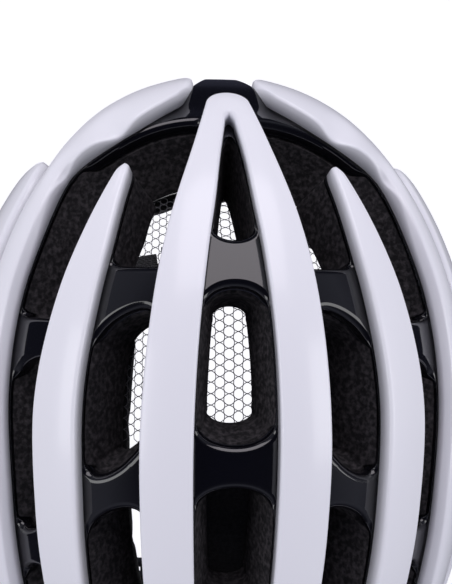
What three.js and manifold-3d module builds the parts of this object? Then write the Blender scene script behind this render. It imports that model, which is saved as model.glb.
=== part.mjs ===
// A ventilated road-cycling helmet: foam liner, shells, raised ribs, pads, net, rear dial fit system and chin straps.
//
// Millimetres, +Z up, the front of the helmet towards -Y, the wearer's left at +X.
// The origin is under the crown, level with the lowest rim at the nape.
//
// The outside is one dome, a superellipsoid whose poles are the front and the rear tip. A place on it is a pair of
// angles in degrees: `back`, 0 at the front pole and 180 at the rear one, and `side`, 0 on the crown line and
// growing to the wearer's left. `depth` is how far below the rib tops a point lies, along the dome's own normal.
import * as THREE from 'three';
import { mergeVertices } from 'three/addons/utils/BufferGeometryUtils.js';
import Module from 'manifold-3d';

const wasm = await Module();
wasm.setup();

// ---- Driving sizes -------------------------------------------------------------------------------------------

// The dome over the rib tops.
const HALF_WIDTH = 106;
const CROWN_RISE = 108.5; // from the level of the poles to the crown
const FRONT_REACH = 140;
const REAR_REACH = 150;
const LOW_FRONT = 110; // how far the dome would run on below the poles, at the front and at the rear
const LOW_REAR = 78;
const POLE_LEVEL = 55;
const ROUNDNESS = 2.1; // exponent of the superellipsoid, 2 being an ellipsoid

// The room for the head.
const HEAD_HALF_WIDTH = 78;
const HEAD_RISE = 77;
const HEAD_FRONT = 101;
const HEAD_REAR = 104;
const HEAD_LOW = 170;

// Layers, as depths below the rib tops.
const GAP = 0.35; // between two pieces that lie on each other
const RIB_HEIGHT = 6.4; // rib top to the shell between the ribs
const RIB_LIFT = 1.5; // a rib's flat underside stands this far off the curved shell at its edges
const RIB_SHOULDER = 2.2;
const SHELL_WALL = 0.9;
const SHELL_SEAM = 57; // height of the joint between the upper and the lower shell
const SEAM_GAP = 0.8;
const RIM_WRAP = 2.2; // thickness of the lower shell under the foam

// Webbing.
const STRAP_WIDTH = 15;
const STRAP_THICK = 1.5;
const STRAP_END_GAP = STRAP_WIDTH / 10; // a slanting strap's corner comes nearer to the buckle as it gets wider
const ANCHOR = { wide: STRAP_WIDTH + 4, thick: 3.2, tall: 8 };
const FRONT_ANCHOR = new THREE.Vector3(80, -46, 20); // centres of the left strap anchors in the foam
const REAR_ANCHOR = new THREE.Vector3(71, 59, 18);
const DIVIDER_PLACE = new THREE.Vector3(76, 2, -52); // the left one, just under the ear
const DIVIDER = { wide: STRAP_WIDTH + 11, thick: 8, tall: 17, wall: 1.6 };
const LEVER = { out: 2.6, up: 3.6, thick: 2.2 };

// Rear fit system.
const DIAL_PLACE = new THREE.Vector3(0, 92, -24); // the pinion's centre
const DIAL_RADIUS = 17;
const DIAL_DEPTH = 9;
const PINION = { teeth: 10, module: 1.2, face: 4, play: 0.3 };
const RACK = { height: 4, thick: 1.3, end: 15 };
const HOUSING = { half: 26, tall: 28, wall: 1.8, room: 6.4 };
const CRADLE = { half: 42, tall: 34, thick: 2.4, wrap: 15 };
const ARM_PIVOT = new THREE.Vector3(67.5, -25, 33); // the left one
const ARM = { height: 9, thick: 1.7, eye: 3.6 };

// Buckle under the chin, its socket towards -X of this place and its tongue towards +X.
const BUCKLE_PLACE = new THREE.Vector3(2, -50, -124);
const BUCKLE = { wide: STRAP_WIDTH + 9, thick: 9, socket: 25, tongue: 12, wall: 1.7, prong: 19 };

const WHITE = { color: 0xdfe0ee, roughness: 0.18, metalness: 0 };
const GLOSS_BLACK = { color: 0x0b0b10, roughness: 0.12, metalness: 0 };
const FOAM = { color: 0x1b191c, roughness: 0.9, metalness: 0 };
const MATT_BLACK = { color: 0x141416, roughness: 0.55, metalness: 0 };
const PADDING = { color: 0x111113, roughness: 0.95, metalness: 0 };
const WEBBING = { color: 0x18181b, roughness: 0.85, metalness: 0 };
const NETTING = { color: 0x2a2a2c, roughness: 0.8, metalness: 0 };
const RUBBER = { color: 0x0e0e0f, roughness: 0.8, metalness: 0 };
const STEEL = { color: 0xb8bbc0, roughness: 0.3, metalness: 1 };

const helmet = new THREE.Group();

// ---- Small tools ---------------------------------------------------------------------------------------------

const radians = THREE.MathUtils.degToRad;
const lerp = THREE.MathUtils.lerp;
const vec = (x, y, z) => new THREE.Vector3(x, y, z);
const steps = (count) => Array.from({ length: count + 1 }, (_, i) => i / count);
const signedPower = (value, exponent) => Math.sign(value) * Math.abs(value) ** exponent;

/** A smooth curve through [x, y] points, by cubic pieces whose slopes come from the neighbouring points. */
function curve(points) {
  const slope = points.map((p, i) => {
    const before = points[Math.max(i - 1, 0)];
    const after = points[Math.min(i + 1, points.length - 1)];
    return (after[1] - before[1]) / (after[0] - before[0]);
  });
  return (x) => {
    const last = points.length - 2;
    const i = Math.min(Math.max(points.findIndex((p) => p[0] > x) - 1, 0) || (x >= points[last][0] ? last : 0), last);
    const [x0, y0] = points[i];
    const [x1, y1] = points[i + 1];
    const t = THREE.MathUtils.clamp((x - x0) / (x1 - x0), 0, 1);
    const run = x1 - x0;
    const h = [2 * t ** 3 - 3 * t ** 2 + 1, t ** 3 - 2 * t ** 2 + t, 3 * t ** 2 - 2 * t ** 3, t ** 3 - t ** 2];
    return h[0] * y0 + h[1] * run * slope[i] + h[2] * y1 + h[3] * run * slope[i + 1];
  };
}

/** The closed body of a geometry as a manifold-3d solid, facing outwards. */
function solid(geometry) {
  const bare = (geometry.index ? geometry.toNonIndexed() : geometry.clone());
  bare.deleteAttribute('normal');
  bare.deleteAttribute('uv');
  const merged = mergeVertices(bare, 1e-4);
  const triangles = new Uint32Array(merged.index.array);
  const make = () => new wasm.Manifold(new wasm.Mesh({
    numProp: 3, vertProperties: merged.attributes.position.array, triVerts: triangles,
  }));
  const made = make();
  if (made.volume() > 0) return made;
  for (let i = 0; i < triangles.length; i += 3) [triangles[i], triangles[i + 1]] = [triangles[i + 1], triangles[i]];
  return make();
}

/** A manifold-3d solid as a three.js geometry. */
function geometryOf(body) {
  const mesh = body.getMesh();
  const geometry = new THREE.BufferGeometry();
  geometry.setAttribute('position', new THREE.BufferAttribute(new Float32Array(mesh.vertProperties), 3));
  geometry.setIndex(new THREE.BufferAttribute(new Uint32Array(mesh.triVerts), 1));
  geometry.computeVertexNormals();
  return geometry;
}

const union = (bodies) => bodies.reduce((whole, body) => whole.add(body));
const cut = (body, tools) => tools.reduce((left, tool) => left.subtract(tool), body);

/** Adds a named piece to the helmet. */
function piece(name, shape, finish) {
  const geometry = shape.isBufferGeometry ? shape : geometryOf(shape);
  const mesh = new THREE.Mesh(geometry, new THREE.MeshStandardMaterial(finish));
  mesh.name = name;
  helmet.add(mesh);
  return mesh;
}

/** A body that joins equal closed loops of points one after the other and closes both ends with flat caps. */
function loft(loops, closed = false) {
  const count = loops[0].length;
  const points = loops.flat();
  const index = [];
  const rows = closed ? loops.length : loops.length - 1;
  for (let row = 0; row < rows; row++) {
    const next = (row + 1) % loops.length;
    for (let i = 0; i < count; i++) {
      const [a, b] = [row * count + i, row * count + (i + 1) % count];
      const [c, d] = [next * count + i, next * count + (i + 1) % count];
      index.push(a, b, c, b, d, c);
    }
  }
  if (!closed) {
    index.push(...capOf(loops[0]).reverse());
    index.push(...capOf(loops.at(-1)).map((i) => i + (loops.length - 1) * count));
  }
  const geometry = new THREE.BufferGeometry().setFromPoints(points);
  geometry.setIndex(index);
  return solid(geometry);
}

/** Triangles that fill one loop of points, seen along its own mean normal. */
function capOf(loop) {
  const normal = vec(0, 0, 0);
  loop.forEach((p, i) => normal.add(vec(0, 0, 0).crossVectors(p, loop[(i + 1) % loop.length])));
  normal.normalize();
  const across = vec(0, 0, 0).subVectors(loop[1], loop[0]).normalize();
  across.addScaledVector(normal, -across.dot(normal)).normalize();
  const up = vec(0, 0, 0).crossVectors(normal, across);
  const flat = loop.map((p) => new THREE.Vector2(p.dot(across), p.dot(up)));
  return THREE.ShapeUtils.triangulateShape(flat, []).flat();
}

/** The mirror image of a body on the wearer's other side. */
const mirrored = (body) => body.mirror([1, 0, 0]);

/** Adds a left piece and its mirror image on the right. */
function pair(name, body, finish) {
  piece(`left_${name}`, body, finish);
  piece(`right_${name}`, mirrored(body), finish);
}

const box = (w, d, h, x = 0, y = 0, z = 0) => solid(new THREE.BoxGeometry(w, d, h).translate(x, y, z));

/** A round bar or disc between two points. */
function bar(from, to, radius, sides = 20) {
  const along = vec(0, 0, 0).subVectors(to, from);
  const turn = new THREE.Quaternion().setFromUnitVectors(vec(0, 1, 0), along.clone().normalize());
  const geometry = new THREE.CylinderGeometry(radius, radius, along.length(), sides);
  geometry.applyQuaternion(turn).translate(...from.clone().add(to).multiplyScalar(0.5).toArray());
  return solid(geometry);
}

// ---- The dome ------------------------------------------------------------------------------------------------

const OUTSIDE = { width: HALF_WIDTH, rise: CROWN_RISE, front: FRONT_REACH, rear: REAR_REACH,
  lowFront: LOW_FRONT, lowRear: LOW_REAR };
const INSIDE = { width: HEAD_HALF_WIDTH, rise: HEAD_RISE, front: HEAD_FRONT, rear: HEAD_REAR,
  lowFront: HEAD_LOW, lowRear: HEAD_LOW };

/** The point at angles `back` and `side` on a dome, moved `depth` inwards along the dome's normal. */
function onDome(back, side, depth = 0, dome = OUTSIDE) {
  const round = 2 / ROUNDNESS;
  const ring = Math.abs(Math.sin(radians(back))) ** round;
  const reach = back < 90 ? dome.front : dome.rear;
  const y = -reach * signedPower(Math.cos(radians(back)), round);
  const low = lerp(dome.lowFront, dome.lowRear, THREE.MathUtils.smoothstep(y, -dome.front, dome.rear));
  const high = Math.cos(radians(side)) >= 0 ? dome.rise : low;
  const x = dome.width * ring * signedPower(Math.sin(radians(side)), round);
  const z = high * ring * signedPower(Math.cos(radians(side)), round);
  const lean = (value, size) => signedPower(value / size, ROUNDNESS - 1) / size;
  const normal = vec(lean(x, dome.width), lean(y, reach), lean(z, high)).normalize();
  return vec(x, y, z + POLE_LEVEL).addScaledVector(normal, -depth);
}

/** A whole dome, closed, `depth` below the surface given. */
function domeBody(depth, dome, around, along) {
  const geometry = new THREE.SphereGeometry(1, around, along);
  const place = geometry.attributes.position;
  for (let i = 0; i < place.count; i++) {
    const back = THREE.MathUtils.radToDeg(Math.acos(THREE.MathUtils.clamp(-place.getY(i), -1, 1)));
    const side = THREE.MathUtils.radToDeg(Math.atan2(place.getX(i), place.getZ(i)));
    const isPole = back < 0.01 || back > 179.99;
    const point = onDome(isPole ? Math.round(back) : back, isPole ? 0 : side, depth, dome);
    place.setXYZ(i, point.x, point.y, point.z);
  }
  return solid(geometry);
}

// The rim's height against the bearing from the front, in degrees: brow, temple, over the ear, nape.
const RIM_HEIGHT = curve([[0, 31], [30, 26], [60, 9], [95, 17], [130, 7], [155, 0], [180, 0]]);

/** Everything below the rim, lowered by `drop`. */
function belowRim(drop = 0) {
  const [inner, outer, bottom, middle] = [55, 230, -200, 12];
  const profile = [[0, bottom], [outer, bottom], [outer, 0], [inner, 0], [0, middle]];
  const lathe = new THREE.LatheGeometry(profile.map(([r, h]) => new THREE.Vector2(r, h)), 32);
  const place = lathe.attributes.position;
  for (let i = 0; i < place.count; i++) {
    const [x, height, across] = [place.getX(i), place.getY(i), place.getZ(i)];
    const bearing = THREE.MathUtils.radToDeg(Math.atan2(Math.abs(x), across));
    const level = height === 0 ? RIM_HEIGHT(bearing) : height;
    place.setXYZ(i, x, -across, level - (height === bottom ? 0 : drop));
  }
  return solid(lathe);
}

// ---- Rib edges and vents, in dome angles ----------------------------------------------------------------------

// Side angle of each rib edge against the back angle. A channel lies between two ribs.
const CENTRE_IN = curve([[31, 1.2], [41, 3], [50, 4.1], [59, 5.4], [72, 6.7], [85, 7.3], [97, 7.2], [130, 6.2], [160, 5]]);
const CENTRE_OUT = curve([[26, 9], [32, 9.8], [40, 11.2], [54, 14.3], [66, 16], [86, 17.2], [97, 17], [130, 16], [160, 19]]);
const MID_IN = curve([[43, 28.2], [57, 27.9], [67, 28.8], [82, 30.4], [97, 30], [130, 30], [160, 34.5]]);
const MID_OUT = curve([[43, 31.4], [57, 35.4], [67, 38], [83, 40.6], [97, 40], [130, 39.5], [160, 48]]);
const OUTER_IN = curve([[46, 52.6], [57, 51.8], [68, 52.4], [83, 51.9], [97, 50.2], [130, 52], [160, 62]]);
const OUTER_OUT = curve([[45, 61], [63, 61.5], [83, 61.5], [97, 60], [130, 62], [160, 76]]);
const SIDE_IN = curve([[42, 66], [63, 65], [83, 69], [105, 74], [130, 74], [150, 79]]);
const SIDE_OUT = curve([[42, 80], [63, 84], [83, 86], [105, 87], [130, 88], [150, 88]]);

const NOSE_TIP = 22; // back angle of the centre rib's nose
const NOSE_SHOULDER = 26;
const CROTCH = 31; // back angle where the two centre ribs part
const CENTRE_END = 157;
const MID_TIP = 43.4;
const MID_END = 153;
const OUTER_END = 150;
const SIDE_TIP = 43;
const SIDE_END = 146;
const VENT_MARGIN = 0.4; // degrees of shell between a rib and a vent

/** Pairs of opposite edge points along the centre rib, which runs up one leg, round the nose and down the other. */
function centreRibPairs(legSteps, noseSteps) {
  const leg = steps(legSteps).map((t) => {
    const [outer, inner] = [lerp(CENTRE_END, NOSE_SHOULDER, t), lerp(CENTRE_END, CROTCH + 1.5, t)];
    return [[outer, CENTRE_OUT(outer)], [inner, CENTRE_IN(inner)]];
  });
  const nose = steps(noseSteps).slice(1, -1).map((t) => {
    const [across, along] = [Math.cos(Math.PI * t), Math.sin(Math.PI * t)];
    return [
      [NOSE_SHOULDER - (NOSE_SHOULDER - NOSE_TIP) * along ** 0.8, CENTRE_OUT(NOSE_SHOULDER) * signedPower(across, 0.8)],
      [CROTCH + 1.5 - 1.5 * along, CENTRE_IN(CROTCH + 1.5) * across],
    ];
  });
  const other = leg.map((edges) => edges.map(([back, side]) => [back, -side])).reverse();
  return [...leg, ...nose, ...other];
}

/** Pairs of edge points along a rib with rounded ends. */
function ribPairs(outerEdge, innerEdge, from, to, count, tipLength, endLength) {
  return steps(count).map((t) => {
    const back = lerp(from, to, (1 - Math.cos(Math.PI * t)) / 2);
    const tip = Math.min((back - from) / tipLength, 1);
    const end = Math.min((to - back) / endLength, 1);
    const full = Math.sqrt(Math.max(1 - (1 - tip) ** 2, 0.08)) * Math.sqrt(Math.max(1 - (1 - end) ** 2, 0.08));
    const [outer, inner] = [outerEdge(back), innerEdge(back)];
    const [middle, half] = [(outer + inner) / 2, (outer - inner) / 2 * full];
    return [[back, middle + half], [back, middle - half]];
  });
}

// The outer rib bends round the brow at its front end, so both of its edges are drawn as paths.
const HORN_INNER = [[22, 19], [28, 30.2], [32.3, 35.6], [36.1, 41], [41.5, 48.8], [46, 52.6]];
const HORN_OUTER = [[13.5, 19], [14.5, 38], [20, 54], [29, 61], [37, 61.5], [45, 61]];

/** Pairs of edge points along the outer rib, from the horn's end on the brow to the rear. */
function outerRibPairs(hornSteps, legSteps) {
  const path = (points) => new THREE.CatmullRomCurve3(points.map(([back, side]) => vec(back, side, 0)));
  const [inner, outer] = [path(HORN_INNER), path(HORN_OUTER)];
  const horn = steps(hornSteps).slice(0, -1).map((t) => {
    const [a, b] = [outer.getPoint(t), inner.getPoint(t)];
    const open = Math.sqrt(Math.max(1 - (1 - Math.min(t / 0.16, 1)) ** 2, 0.12));
    const middle = a.clone().add(b).multiplyScalar(0.5);
    a.lerpVectors(middle, a, open);
    b.lerpVectors(middle, b, open);
    return [[a.x, a.y], [b.x, b.y]];
  });
  const leg = steps(legSteps).map((t) => {
    const back = lerp(HORN_INNER.at(-1)[0], OUTER_END, t);
    const end = Math.sqrt(Math.max(1 - (1 - Math.min((OUTER_END - back) / 8, 1)) ** 2, 0.08));
    const [middle, half] = [(OUTER_OUT(back) + OUTER_IN(back)) / 2, (OUTER_OUT(back) - OUTER_IN(back)) / 2 * end];
    return [[back, middle + half], [back, middle - half]];
  });
  return [...horn, ...leg];
}

/** A rib: a bar with chamfered shoulders that follows its edge pairs, between two depths. */
function ribBody(pairs, top, bottom) {
  return loft(pairs.map(([a, b]) => {
    const width = onDome(...a).distanceTo(onDome(...b));
    const at = (run, depth) => onDome(lerp(a[0], b[0], run / width), lerp(a[1], b[1], run / width), depth);
    const shoulder = Math.min(RIB_SHOULDER, 0.4 * width);
    return [at(0, bottom), at(0, top + shoulder), at(shoulder, top),
      at(width - shoulder, top), at(width, top + shoulder), at(width, bottom)];
  }));
}

/** The outline of a vent: a superellipse stretched between two channel edges; `skew` leans its far side back. */
function ventOutline({ from, to, low, high, skew = 0, margin = VENT_MARGIN }, count = 10) {
  return steps(count).slice(0, -1).map((t) => {
    const [along, across] = [Math.cos(2 * Math.PI * t), Math.sin(2 * Math.PI * t)].map((v) => signedPower(v, 2 / 3.1));
    const back = lerp(from, to, (1 + along) / 2) + skew * across;
    return [back, lerp(low(back) + margin, high(back) - margin, (1 + across) / 2)];
  });
}

const negative = (edge) => (back) => -edge(back);

// Vents across the crown line, then those on the wearer's left, which are mirrored.
const MIDDLE_VENTS = [
  { from: 36, to: 57, low: negative(CENTRE_IN), high: CENTRE_IN },
  { from: 64, to: 87.7, low: negative(CENTRE_IN), high: CENTRE_IN },
  { from: 91.8, to: 112, low: negative(CENTRE_IN), high: CENTRE_IN },
  { from: 118, to: 141, low: negative(CENTRE_IN), high: CENTRE_IN },
];
const LEFT_VENTS = [
  { from: 69.8, to: 90.8, low: CENTRE_OUT, high: MID_IN, skew: 2.1 },
  { from: 97, to: 116, low: CENTRE_OUT, high: MID_IN, skew: 1.5 },
  { from: 122, to: 146, low: CENTRE_OUT, high: MID_IN },
  { from: 78, to: 100, low: MID_OUT, high: OUTER_IN, skew: 1.5 },
  { from: 107, to: 140, low: MID_OUT, high: OUTER_IN },
  { from: 84, to: 103, low: OUTER_OUT, high: SIDE_IN },
  { from: 108, to: 132, low: OUTER_OUT, high: SIDE_IN },
];

const FRONT_VENT_BACK = [60.8, 70.4]; // where the front vent ends, inside and outside the mid rib
const ARCH = (side) => 27.6 + 15.4 * (side / 52) ** 3.2; // the brow's rear edge

/** The outline of the large front vent, which runs round the free tip of the mid rib. */
function frontVentOutline() {
  const along = (edge, shift, from, to, count) => steps(count).map((t) => lerp(from, to, t))
    .map((back) => [back, edge(back) + shift]);
  const arch = steps(6).map((t) => lerp(CENTRE_OUT(28) + VENT_MARGIN + 0.6, 50.6, t)).map((side) => [ARCH(side), side]);
  const [nearEnd, farEnd] = FRONT_VENT_BACK;
  return [
    ...arch,
    ...along(OUTER_IN, -VENT_MARGIN, 47.5, farEnd - 2, 3),
    [farEnd, (OUTER_IN(farEnd) + MID_OUT(farEnd)) / 2],
    ...along(MID_OUT, VENT_MARGIN, farEnd - 3, MID_TIP + 1.5, 3),
    [MID_TIP - 0.6, (MID_IN(MID_TIP) + MID_OUT(MID_TIP)) / 2],
    ...along(MID_IN, -VENT_MARGIN, MID_TIP + 1.5, nearEnd - 1.5, 2),
    [nearEnd, (CENTRE_OUT(nearEnd) + MID_IN(nearEnd)) / 2],
    ...along(CENTRE_OUT, VENT_MARGIN, nearEnd - 1.5, 31, 3),
  ];
}

const VENT_ABOVE = -14;
const VENT_BELOW = 50;

/** The cutter of a vent: its outline carried from above the ribs to inside the head room, along the normals. */
function ventCutter(outline) {
  return loft([VENT_ABOVE, VENT_BELOW].map((depth) => outline.map(([back, side]) => onDome(back, side, depth))));
}

const leftCutters = [...LEFT_VENTS.map((vent) => ventOutline(vent)), frontVentOutline()].map(ventCutter);
const middleCutters = MIDDLE_VENTS.map((vent) => ventCutter(ventOutline(vent)));
const ventCutters = union([...middleCutters, ...leftCutters, ...leftCutters.map(mirrored)]);

// ---- Foam liner, shells and ribs -------------------------------------------------------------------------------

const ribs = {
  centre: centreRibPairs(9, 8),
  mid: ribPairs(MID_OUT, MID_IN, MID_TIP, MID_END, 10, 5, 8),
  outer: outerRibPairs(7, 8),
  side: ribPairs(SIDE_OUT, SIDE_IN, SIDE_TIP, SIDE_END, 11, 9, 8),
};

const shellOutside = RIB_HEIGHT + GAP;
const foamOutside = shellOutside + SHELL_WALL + GAP;
const AROUND = 26; // facets of a dome, round it and from pole to pole
const ALONG = 16;
const cavity = domeBody(0, INSIDE, 24, 14);

// Seats moulded into the foam: pockets for the strap anchors, open below, and round ones for the temple anchors.
const pocket = ({ x, y, z }) => {
  const [wide, thick, tall] = [ANCHOR.wide, ANCHOR.thick, ANCHOR.tall].map((size) => size + 2 * GAP);
  const depth = 40;
  return box(thick, wide, tall + depth, x, y, z - depth / 2);
};
const TEMPLE = { radius: 9, thick: 3.6, face: 73.4 }; // the temple anchor, its inner face at x = face
const templeSeat = bar(vec(TEMPLE.face - 5, ARM_PIVOT.y, ARM_PIVOT.z),
  vec(TEMPLE.face + TEMPLE.thick + GAP, ARM_PIVOT.y, ARM_PIVOT.z), TEMPLE.radius + GAP, 24);
const leftSeats = [pocket(FRONT_ANCHOR), pocket(REAR_ANCHOR), templeSeat];
const seats = [...leftSeats, ...leftSeats.map(mirrored)];

function makeShells() {
  const skin = domeBody(shellOutside, OUTSIDE, AROUND, ALONG);
  const shellInside = domeBody(shellOutside + SHELL_WALL, OUTSIDE, AROUND, ALONG);
  const cutAt = (level) => box(400, 400, 400, 0, 0, level);
  piece('top_shell', cut(skin, [shellInside, ventCutters, cutAt(SHELL_SEAM + SEAM_GAP / 2 - 200)]), GLOSS_BLACK);

  // The lower shell turns in under the foam's rim, as far as the room for the head.
  const hollow = shellInside.subtract(belowRim(GAP));
  const lowCavity = domeBody(-3, INSIDE, 24, 14);
  piece('lower_shell', cut(skin, [hollow, lowCavity, belowRim(RIM_WRAP), ventCutters, ...seats,
    cutAt(SHELL_SEAM - SEAM_GAP / 2 + 200)]), GLOSS_BLACK);
}

function makeRibs() {
  const bottom = RIB_HEIGHT - RIB_LIFT;
  piece('centre_rib', ribBody(ribs.centre, 0, bottom), WHITE);
  pair('mid_rib', ribBody(ribs.mid, 0, bottom), WHITE);
  pair('outer_rib', ribBody(ribs.outer, 0, bottom), WHITE);
  pair('side_rib', ribBody(ribs.side, 0, bottom - 1), WHITE);
}

makeRibs();
makeShells();
piece('foam_liner', cut(domeBody(foamOutside, OUTSIDE, AROUND, ALONG), [cavity, belowRim(), ventCutters, ...seats]), FOAM);

// ---- Padding and net ------------------------------------------------------------------------------------------

/** A sheet that lies on the inside of the foam between two depths into the head room. */
function lining([fromBack, toBack], [fromSide, toSide], near, far, across = 8, along = 6) {
  return loft(steps(along).map((t) => {
    const back = lerp(fromBack, toBack, t);
    const row = (depth) => steps(across).map((u) => onDome(back, lerp(fromSide, toSide, u), depth, INSIDE));
    return [...row(near), ...row(far).reverse()];
  }));
}

const NET = { near: 1.4, thick: 0.6 };
const PAD = { near: 3, thick: 6 };
const pad = (backs, sides, across, along) => lining(backs, sides, PAD.near, PAD.near + PAD.thick, across, along);
piece('insect_net', lining([27, 84], [-50, 50], NET.near, NET.near + NET.thick, 12, 7), NETTING);
piece('crown_pad', pad([90, 132], [-9, 9], 3, 6), PADDING);
pair('crown_pad', pad([68, 128], [28, 40], 3, 7), PADDING);
pair('side_pad', pad([78, 122], [58, 76], 4, 6), PADDING);
piece('rear_pad', pad([140, 152], [-40, 40], 8, 3), PADDING);

/** A band round the head: an upright strip on an ellipse, between two bearings from the front. */
function headBand(halfWidth, reach, thick, bottom, top, from, to, count) {
  return loft(steps(count).map((t) => {
    const bearing = radians(lerp(from, to, t));
    const at = (out, z) => vec((halfWidth + out) * Math.sin(bearing), -(reach + out) * Math.cos(bearing), z);
    return [at(0, bottom), at(thick, bottom), at(thick, top), at(0, top)];
  }));
}
const BROW = { half: 71, reach: 93.5, thick: 1.6, low: 36, high: 45, pad: 6 };
piece('brow_band', headBand(BROW.half, BROW.reach, BROW.thick, BROW.low, BROW.high, -62, 62, 16), MATT_BLACK);
piece('brow_pad', headBand(BROW.half - BROW.pad - GAP, BROW.reach - BROW.pad - GAP, BROW.pad,
  BROW.low - 7, BROW.high + 3, -58, 58, 14), PADDING);

// ---- Rear fit system ------------------------------------------------------------------------------------------

/** Sections of a flat band along a path: `outward` gives its face's direction at each share of the path. */
function bandAlong(points, outward, width, thick, count) {
  const path = new THREE.CatmullRomCurve3(points, false, 'centripetal');
  return steps(count).map((t) => {
    const along = path.getTangentAt(t);
    const face = outward(t, along);
    face.addScaledVector(along, -face.dot(along)).normalize();
    const side = vec(0, 0, 0).crossVectors(along, face);
    const place = path.getPointAt(t);
    const corner = (s, f) => place.clone().addScaledVector(side, s * width / 2).addScaledVector(face, f * thick / 2);
    return [corner(-1, -1), corner(1, -1), corner(1, 1), corner(-1, 1)];
  });
}

const SHAFT_RADIUS = 2.8;
const SCREW_RADIUS = 1.3;
const STUD_RADIUS = 2.8; // of the temple swivel, and its fork's pin
const PIN_RADIUS = 1.6;
const HOUSING_BACK = HOUSING.room / 2 + HOUSING.wall; // distances behind the pinion's middle
const KNOB_START = HOUSING_BACK + 0.4;
const KNOB_FACE = KNOB_START + 6;
const PITCH_RADIUS = PINION.teeth * PINION.module / 2;
const TOOTH_HEIGHT = { above: 0.75 * PINION.module, below: 1.1 * PINION.module };
const PITCH = Math.PI * PINION.module;

/** A flat outline drawn in X and Z, extruded along Y from `y0` to `y1`. */
function plateXZ(outline, y0, y1, holes = []) {
  const shape = new THREE.Shape(outline.map(([x, z]) => new THREE.Vector2(x, z)));
  shape.holes = holes.map((hole) => new THREE.Path(hole.map(([x, z]) => new THREE.Vector2(x, z))));
  const geometry = new THREE.ExtrudeGeometry(shape, { depth: y1 - y0, bevelEnabled: false });
  geometry.rotateX(Math.PI / 2).translate(0, y1, 0);
  return solid(geometry);
}

/** The half width of a tooth at a height over the pitch line, thinned by half the play. */
const toothHalf = (height) => PITCH / 4 - height * 0.36 - PINION.play / 2;

function pinionBody() {
  const outline = [];
  for (let i = 0; i < PINION.teeth; i++) {
    const middle = (2 * Math.PI * i) / PINION.teeth;
    for (const [side, height] of [[-1, -TOOTH_HEIGHT.below], [-1, TOOTH_HEIGHT.above], [1, TOOTH_HEIGHT.above],
      [1, -TOOTH_HEIGHT.below]]) {
      const radius = PITCH_RADIUS + height;
      const angle = middle + side * toothHalf(height) / radius;
      outline.push([radius * Math.cos(angle), radius * Math.sin(angle)]);
    }
  }
  const teeth = plateXZ(outline, -PINION.face / 2, PINION.face / 2);
  const shaft = bar(vec(0, PINION.face / 2 - 1, 0), vec(0, KNOB_FACE, 0), SHAFT_RADIUS, 16);
  const bore = bar(vec(0, KNOB_FACE - 5, 0), vec(0, KNOB_FACE + 1, 0), SCREW_RADIUS + 0.3, 12);
  return teeth.add(shaft).subtract(bore);
}

/** A toothed rack over the pinion, its tooth gap on the pinion's top tooth when `phase` is 0. */
function rackOutline(from, to) {
  const outline = [];
  const first = Math.ceil((from + PITCH) / PITCH);
  const last = Math.floor((to - PITCH) / PITCH);
  for (let i = first; i <= last; i++) {
    const middle = (i + (PINION.teeth % 4 === 2 ? 0 : 0.5)) * PITCH;
    for (const [side, height] of [[-1, -TOOTH_HEIGHT.below], [-1, TOOTH_HEIGHT.above], [1, TOOTH_HEIGHT.above],
      [1, -TOOTH_HEIGHT.below]]) {
      outline.push([middle + side * toothHalf(height), PITCH_RADIUS - height]);
    }
  }
  const top = PITCH_RADIUS + TOOTH_HEIGHT.below + RACK.height;
  return [[from, PITCH_RADIUS + TOOTH_HEIGHT.below], ...outline, [to, PITCH_RADIUS + TOOTH_HEIGHT.below],
    [to, top], [from, top]];
}

const RACK_JOIN = HOUSING.half - 6; // where the rack runs over into its arm
const rackMiddle = PITCH_RADIUS + TOOTH_HEIGHT.below + RACK.height / 2;

/** The left fit arm, whose rack runs over the pinion; `over` is 1 for that and -1 for under it. */
function fitArm(over) {
  const level = DIAL_PLACE.z + over * rackMiddle;
  const path = [ARM_PIVOT, vec(68.4, ARM_PIVOT.y + 7, ARM_PIVOT.z - 0.3), vec(69, 0, 26), vec(67, 30, 8),
    vec(57, 58, lerp(level, 8, 0.4)), vec(45.5, 80, lerp(level, 0, 0.1)), vec(31, 91, level),
    vec(RACK_JOIN, DIAL_PLACE.y, level)];
  const outward = (t) => vec(1, 1.25 * THREE.MathUtils.smoothstep(t, 0.2, 0.85) * (1 + 2.5 * t ** 6), 0.05);
  const sections = bandAlong(path, outward, 1, ARM.thick, 16).map((loop, i, all) => {
    const share = i / (all.length - 1);
    const height = lerp(ARM.height, RACK.height - 0.2, THREE.MathUtils.smoothstep(share, 0.7, 0.92));
    const middle = loop[0].clone().add(loop[2]).multiplyScalar(0.5);
    const up = vec(0, 0, 0).subVectors(loop[1], loop[0]);
    return loop.map((p, k) => p.clone().addScaledVector(up, (k === 1 || k === 2 ? 0.5 : -0.5) * (height - 1)));
  });
  const upright = rackOutline(-RACK.end, RACK_JOIN + 4);
  const outline = over > 0 ? upright : upright.map(([x, z]) => [x, -z]).reverse();
  const rack = plateXZ(outline, -RACK.thick / 2, RACK.thick / 2).translate(DIAL_PLACE.toArray());
  const eye = bar(ARM_PIVOT.clone().add(vec(0, 0, -ARM.height / 2)), ARM_PIVOT.clone().add(vec(0, 0, ARM.height / 2)),
    ARM.eye, 20);
  const hole = bar(ARM_PIVOT.clone().add(vec(0, 0, -20)), ARM_PIVOT.clone().add(vec(0, 0, 20)), PIN_RADIUS + GAP, 16);
  return union([loft(sections), rack, eye]).subtract(hole);
}

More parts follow.
